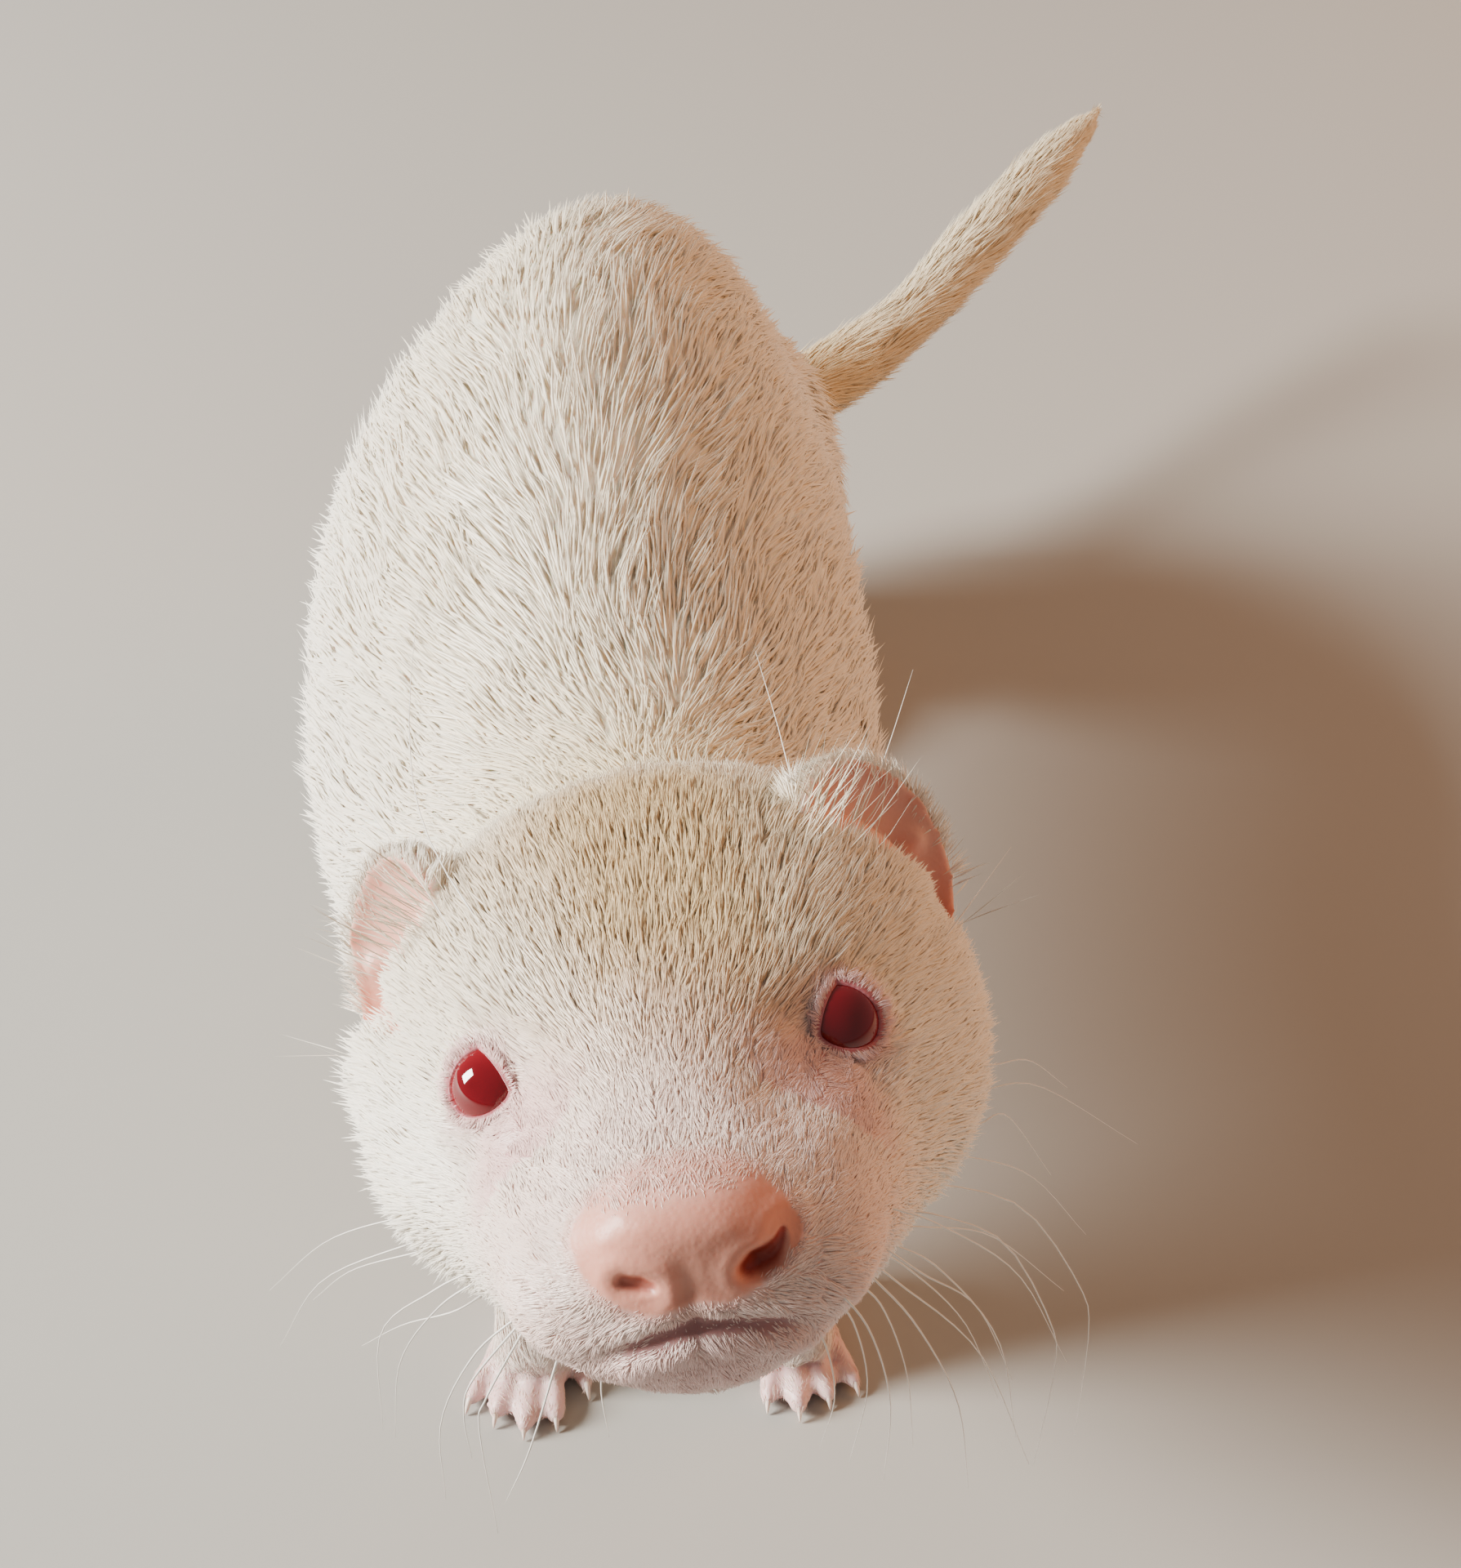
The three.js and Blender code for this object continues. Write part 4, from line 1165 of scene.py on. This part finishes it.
def coat_tree(tuft, made):
    """Tufts scattered over a skin by its cover, along its growth, with its length and width.

    Their tips curl back to the skin by Curl, are drawn to the middle of locks of Lock Size by Gather, and
    waver by Wave.
    """
    tree = bpy.data.node_groups.new("coat", "GeometryNodeTree")
    for name in ("Geometry", "Share", "Seed", "Scatter", "Curl", "Gather", "Lock Size", "Wave"):
        kind = {"Geometry": "Geometry", "Seed": "Int"}.get(name, "Float")
        tree.interface.new_socket(name, in_out="INPUT", socket_type=f"NodeSocket{kind}")
    tree.interface.new_socket("Geometry", in_out="OUTPUT", socket_type="NodeSocketGeometry")
    given = add(tree, "NodeGroupInput").outputs

    def geometry(kind, inputs=None, **settings):
        return add(tree, f"GeometryNode{kind}", inputs, **settings)

    def kept_on(shape, name, what, kind, domain):
        return geometry("StoreNamedAttribute", {"Geometry": shape, "Name": name, "Value": what},
                        data_type=kind, domain=domain)

    def value(name, kind="FLOAT"):
        return geometry("InputNamedAttribute", {"Name": name}, data_type=kind)

    def vector(name):
        return value(name, "FLOAT_VECTOR")

    def maths(operation, a, b):
        return add(tree, "ShaderNodeMath", {0: a, 1: b}, operation=operation)

    def times(a, b):
        return maths("MULTIPLY", a, b)

    def vectors(operation, a, b):
        return add(tree, "ShaderNodeVectorMath", {0: a, 1: b}, operation=operation)

    def scaled(a, b):
        return add(tree, "ShaderNodeVectorMath", {0: a, "Scale": b}, operation="SCALE")

    def drawn(low, high, seed):
        return add(tree, "FunctionNodeRandomValue", {2: low, 3: high, "Seed": seed}, data_type="FLOAT")

    points = geometry("DistributePointsOnFaces", {
        "Mesh": given["Geometry"], "Density": times(value("cover"), given["Share"]),
        "Seed": given["Seed"]})
    out = points.outputs["Normal"]
    stray = add(tree, "FunctionNodeRandomValue", {0: (-1, -1, -1), 1: (1, 1, 1), "Seed": given["Seed"]},
                data_type="FLOAT_VECTOR")
    way = vectors("ADD", vector("growth"), scaled(stray, given["Scatter"]))
    turn = add(tree, "FunctionNodeAxesToRotation", {"Primary Axis": way, "Secondary Axis": out},
               primary_axis="Z", secondary_axis="X")
    long = times(value("length"), drawn(0.7, 1.15, 11))
    wide = times(value("width"), drawn(0.75, 1.25, 12))
    shape = points.outputs["Points"]
    for name, what in (("root", geometry("InputPosition")), ("out", out), ("root_uv", vector("OFBake")),
                       ("tone", drawn(0, 1, 13)), ("long", long)):
        shape = kept_on(shape, name, what, "FLOAT" if name in ("tone", "long") else "FLOAT_VECTOR", "POINT")
    size = add(tree, "ShaderNodeCombineXYZ", {"X": wide, "Y": wide, "Z": long})
    shape = geometry("InstanceOnPoints", {
        "Points": shape, "Rotation": turn, "Scale": size,
        "Instance": geometry("ObjectInfo", {"Object": tuft}).outputs["Geometry"]})
    shape = geometry("RealizeInstances", {"Geometry": shape})

    share = times(value("tip"), value("tip"))
    root, out = vector("root"), vector("out")
    sway = times(share, value("long"))
    curl = scaled(out, times(times(sway, given["Curl"]), -1.0))
    cell = add(tree, "ShaderNodeTexVoronoi",
               {"Vector": root, "Scale": maths("DIVIDE", 1.0, given["Lock Size"])}).outputs["Position"]
    aside = vectors("SUBTRACT", cell, root)
    aside = vectors("SUBTRACT", aside, vectors("PROJECT", aside, out))
    gather = scaled(aside, times(share, given["Gather"]))
    blotch = add(tree, "ShaderNodeTexNoise", {"Vector": root, "Scale": 420.0, "Detail": 1.0})
    waver = vectors("SUBTRACT", blotch.outputs["Color"], (0.5, 0.5, 0.5))
    waver = scaled(waver, times(sway, given["Wave"]))
    shape = geometry("SetPosition", {
        "Geometry": shape, "Offset": vectors("ADD", vectors("ADD", curl, gather), waver)})
    place = add(tree, "ShaderNodeSeparateXYZ", {0: geometry("InputPosition")}).outputs
    above = add(tree, "ShaderNodeCombineXYZ",
                {"X": place["X"], "Y": place["Y"], "Z": maths("MAXIMUM", place["Z"], FLOOR_GAP)})
    shape = geometry("SetPosition", {"Geometry": shape, "Position": above})
    spot = vectors("ADD", vector("root_uv"), scaled(vector("chart"), TUFT_CHART))
    shape = kept_on(shape, "OFBake", spot, "FLOAT2", "CORNER")
    add(tree, "NodeGroupOutput", {"Geometry": geometry("SetMaterial", {"Geometry": shape, "Material": made})})
    return tree


def coat_piece(name, skin, tree, values, fields):
    """One layer of the coat; fields gives the skin's values that are other than its own here."""
    source = link(bpy.data.objects.new(name, skin.data.copy()))
    attributes = source.data.attributes
    for field, numbers in fields.items():
        attributes.remove(attributes[field])
        store(source, field, numbers)
    modifier = source.modifiers.new("coat", "NODES")
    modifier.node_group = tree
    for item in tree.interface.items_tree:
        if item.name in values:
            modifier[item.identifier] = values[item.name]
    baked(source)
    attributes = source.data.attributes
    spare = [a.name for a in attributes if a.name not in COAT_KEEPS and not a.is_required]
    for attribute in spare:
        attributes.remove(attributes[attribute])
    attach(source, "root")


def unwrap(obj):
    """An unwrap of the skin's own shape into flat charts."""
    bpy.context.view_layer.objects.active = obj
    obj.select_set(True)
    obj.data.uv_layers.new(name="OFBake")
    bpy.ops.object.mode_set(mode="EDIT")
    bpy.ops.mesh.select_all(action="SELECT")
    bpy.ops.uv.smart_project(angle_limit=rad(66), island_margin=0.001)
    bpy.ops.object.mode_set(mode="OBJECT")
    obj.select_set(False)


def make_coat(skin):
    tree = coat_tree(tuft_shape(), coat_material())
    cover, face = stored(skin, "cover"), stored(skin, "on_face")
    for region, coat, seed, share in (("head", HEAD_COAT, 20, face), ("body", BODY_COAT, 40, 1 - face)):
        for k in range(COAT_LAYERS):
            coat_piece(f"coat_{region}_{k}", skin, tree, {**coat, "Seed": seed + k, "Share": 1 / COAT_LAYERS},
                       {"cover": cover * share})
    root, way = stored(skin, "ear_root"), stored(skin, "ear_way", 3)
    coat_piece("ear_hairs", skin, tree, {**EAR_COAT, "Seed": 60, "Share": 1.0},
               {"cover": root * EAR_HAIRS / MM**2, "growth": way, "length": root * 0 + EAR_HAIR * MM,
                "width": root * 0 + EAR_HAIR_WIDTH * MM})


# Whiskers

# Each whisker: how many millimetres its tip lies behind its root, and its pixels in the photo from the root.
WHISKERS = [
    (14, 1172, 1338, 1199, 1336, 1272, 1330, 1393, 1401),
    (10, 1190, 1308, 1219, 1304, 1261, 1299, 1307, 1332),
    (10, 1178, 1380, 1200, 1376, 1234, 1367, 1287, 1439),
    (16, 1120, 1462, 1154, 1451, 1253, 1480, 1322, 1575, 1333, 1633, 1316, 1757),
    (14, 1112, 1490, 1142, 1487, 1230, 1522, 1287, 1621, 1291, 1679, 1265, 1795),
    (12, 1104, 1508, 1134, 1503, 1215, 1514, 1303, 1581),
    (12, 1076, 1552, 1100, 1571, 1199, 1656, 1260, 1793),
    (9, 1060, 1530, 1110, 1552, 1180, 1618, 1222, 1712),
    (9, 1084, 1526, 1130, 1560, 1196, 1600, 1240, 1690),
    (7, 1046, 1570, 1080, 1600, 1110, 1680, 1118, 1770),
    (6, 1020, 1590, 1046, 1622, 1062, 1700, 1040, 1790),
    (13, 1130, 1420, 1180, 1416, 1262, 1440, 1330, 1512),
    (12, 1098, 1530, 1148, 1552, 1222, 1640, 1244, 1760),
    (15, 1090, 1476, 1150, 1500, 1246, 1560, 1306, 1668),
    (9, 1064, 1560, 1120, 1620, 1172, 1716, 1186, 1822),
    (7, 1024, 1574, 1064, 1628, 1090, 1716, 1082, 1812),
    (4, 990, 1612, 1012, 1650, 1022, 1712, 1004, 1772),
    (12, 548, 1490, 486, 1492, 400, 1520, 330, 1580),
    (11, 584, 1572, 536, 1602, 490, 1668, 484, 1760),
    (9, 618, 1620, 580, 1660, 540, 1742, 546, 1836),
    (13, 560, 1512, 502, 1523, 395, 1568, 343, 1648),
    (10, 556, 1528, 504, 1535, 430, 1556, 383, 1592),
    (12, 576, 1560, 530, 1581, 466, 1634, 469, 1751),
    (10, 596, 1588, 558, 1605, 494, 1622, 443, 1648),
    (6, 606, 1640, 578, 1691, 568, 1734, 578, 1786),
    (8, 622, 1640, 596, 1711, 587, 1751, 610, 1878),
    (5, 676, 1680, 649, 1774, 619, 1840),
    (3, 742, 1662, 736, 1700, 746, 1760),
    (34, 640, 1250, 609, 1238, 523, 1092, 405, 930),
    (52, 648, 1226, 635, 1198, 526, 1029, 501, 880, 520, 670),
    (40, 990, 1330, 974, 1298, 984, 1054, 961, 922, 925, 797),
    (36, 1012, 1180, 1002, 1133, 1078, 942, 1118, 820),
    (14, 1150, 1160, 1173, 1127, 1238, 1037),
]
WHISKER_THICK = 0.22
WHISKER_STEPS = 16
WHISKER_SIDES = 5


def sight(pixel):
    """The direction from the camera through a pixel of the photo, 1 long along the camera's axis."""
    across = (pixel[0] - PHOTO_WIDTH / 2) / FOCAL_PIXELS
    up = (PHOTO_HEIGHT / 2 - pixel[1]) / FOCAL_PIXELS
    return turn_matrix(90 - CAMERA_TILT, "X") @ np.array([across, up, -1])


def whisker_path(pixels, back, tree, forward):
    """A smooth path from a root in the skin through the pixels, drawn back from the camera to its tip."""
    eye = ORIGIN + CAMERA_AT
    steps = [eye + sight(pixels[0]) * depth for depth in np.arange(170, 280, 1.0)]
    found = [tree.find_nearest(Vector(p * MM)) for p in steps]
    nearest = min(range(len(found)), key=lambda k: found[k][3] + 1e-6 * k)
    root = np.array(found[nearest][0]) / MM
    inside = root - np.array(found[nearest][1]) * 0.6
    depth = (root - eye) @ forward
    reach = np.cumsum([0] + [math.dist(a, b) for a, b in zip(pixels, pixels[1:])])
    route = [eye + sight(p) * (depth + back * r / reach[-1]) for p, r in zip(pixels[1:], reach[1:])]
    return spline([inside] + route, WHISKER_STEPS + 1)


def whiskers(skin):
    """Tapered hairs on the muzzle, cheeks and brow."""
    tree = tree_of(skin.data)
    forward = sight((PHOTO_WIDTH / 2, PHOTO_HEIGHT / 2))
    angle = 2 * np.pi * np.arange(WHISKER_SIDES) / WHISKER_SIDES
    forms = []
    for back, *pixels in WHISKERS:
        centre = whisker_path(np.reshape(pixels, (-1, 2)), back, tree, forward)
        along = unit(np.gradient(centre, axis=0))
        side = unit(np.cross(along, forward))
        rise = np.cross(side, along)
        thick = WHISKER_THICK / 2 * (1 - np.linspace(0, 1, len(centre)) ** 1.3 * 0.85)
        forms.append(tube([
            middle + thick[k] * (np.outer(np.cos(angle), side[k]) + np.outer(np.sin(angle), rise[k]))
            for k, middle in enumerate(centre)]))
    return facing_out(new_object("whiskers", *merged(forms)))


skin, claws = make_skin()
eyes = {name: eyeball(f"eye_{name}_ball", side) for name, side in SIDES.items()}
unwrap(skin)
coat_fields(skin)
make_coat(skin)
paint(skin, skin_material())
paint(claws, horn_material())
eye_red = eye_material()
for ball in eyes.values():
    paint(ball, eye_red)
hairs = whiskers(skin)
paint(hairs, whisker_material())
for piece in (skin, claws, hairs, *eyes.values()):
    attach(piece, "root")
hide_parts(*BODY_NODES, *PAW_NODES, *EAR_NODES)
for name, ball in eyes.items():
    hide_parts(f"eye_{name}")


# Camera, floor and light

FLOOR_HALF = 4000


def make_camera():
    camera = link(bpy.data.objects.new("camera", bpy.data.cameras.new("camera")))
    camera.location = Vector(np.array(CAMERA_AT) + ORIGIN) * MM
    camera.rotation_euler = (rad(90 - CAMERA_TILT), 0, 0)
    camera.data.lens = camera.data.sensor_width * FOCAL_PIXELS / PHOTO_HEIGHT
    camera.data.clip_start = 0.01
    bpy.context.scene.camera = camera


def make_floor():
    """A plain pale sheet of matt studio paper."""
    corners = [(x * FLOOR_HALF, y * FLOOR_HALF, 0) for x, y in ((-1, -1), (1, -1), (1, 1), (-1, 1))]
    floor = new_object("studio_floor", corners, [(0, 1, 2, 3)])
    made, tree, shader = material("matt_studio_paper")
    feed(tree, shader, {"Base Color": opaque("#A9A6A1"), "Roughness": 0.9})
    paint(floor, made)


def area_light(name, at, aim, power, size, colour):
    light = link(bpy.data.objects.new(name, bpy.data.lights.new(name, "AREA")))
    light.location = Vector(at)
    light.rotation_euler = (Vector(aim) - light.location).to_track_quat("-Z", "Y").to_euler()
    light.data.shape = "RECTANGLE"
    light.data.size, light.data.size_y = size
    light.data.energy = power
    light.data.color = linear(colour)
    return light


def make_light():
    area_light("window_light", (-1.3, -0.16, 0.72), (0, -0.05, 0.08), 84, (0.42, 0.66), "#FFFCF4")
    bounce = area_light("warm_bounce", (0.95, 0.3, 0.5), (0, 0, 0.08), 14, (0.9, 0.6), "#E19E62")
    bounce.visible_glossy = False
    world = bpy.data.worlds.new("studio")
    bpy.context.scene.world = world
    world.use_nodes = True
    tree = world.node_tree
    feed(tree, tree.nodes["Background"], {"Color": opaque("#E8E6E2"), "Strength": 0.26})


make_camera()
make_floor()
make_light()
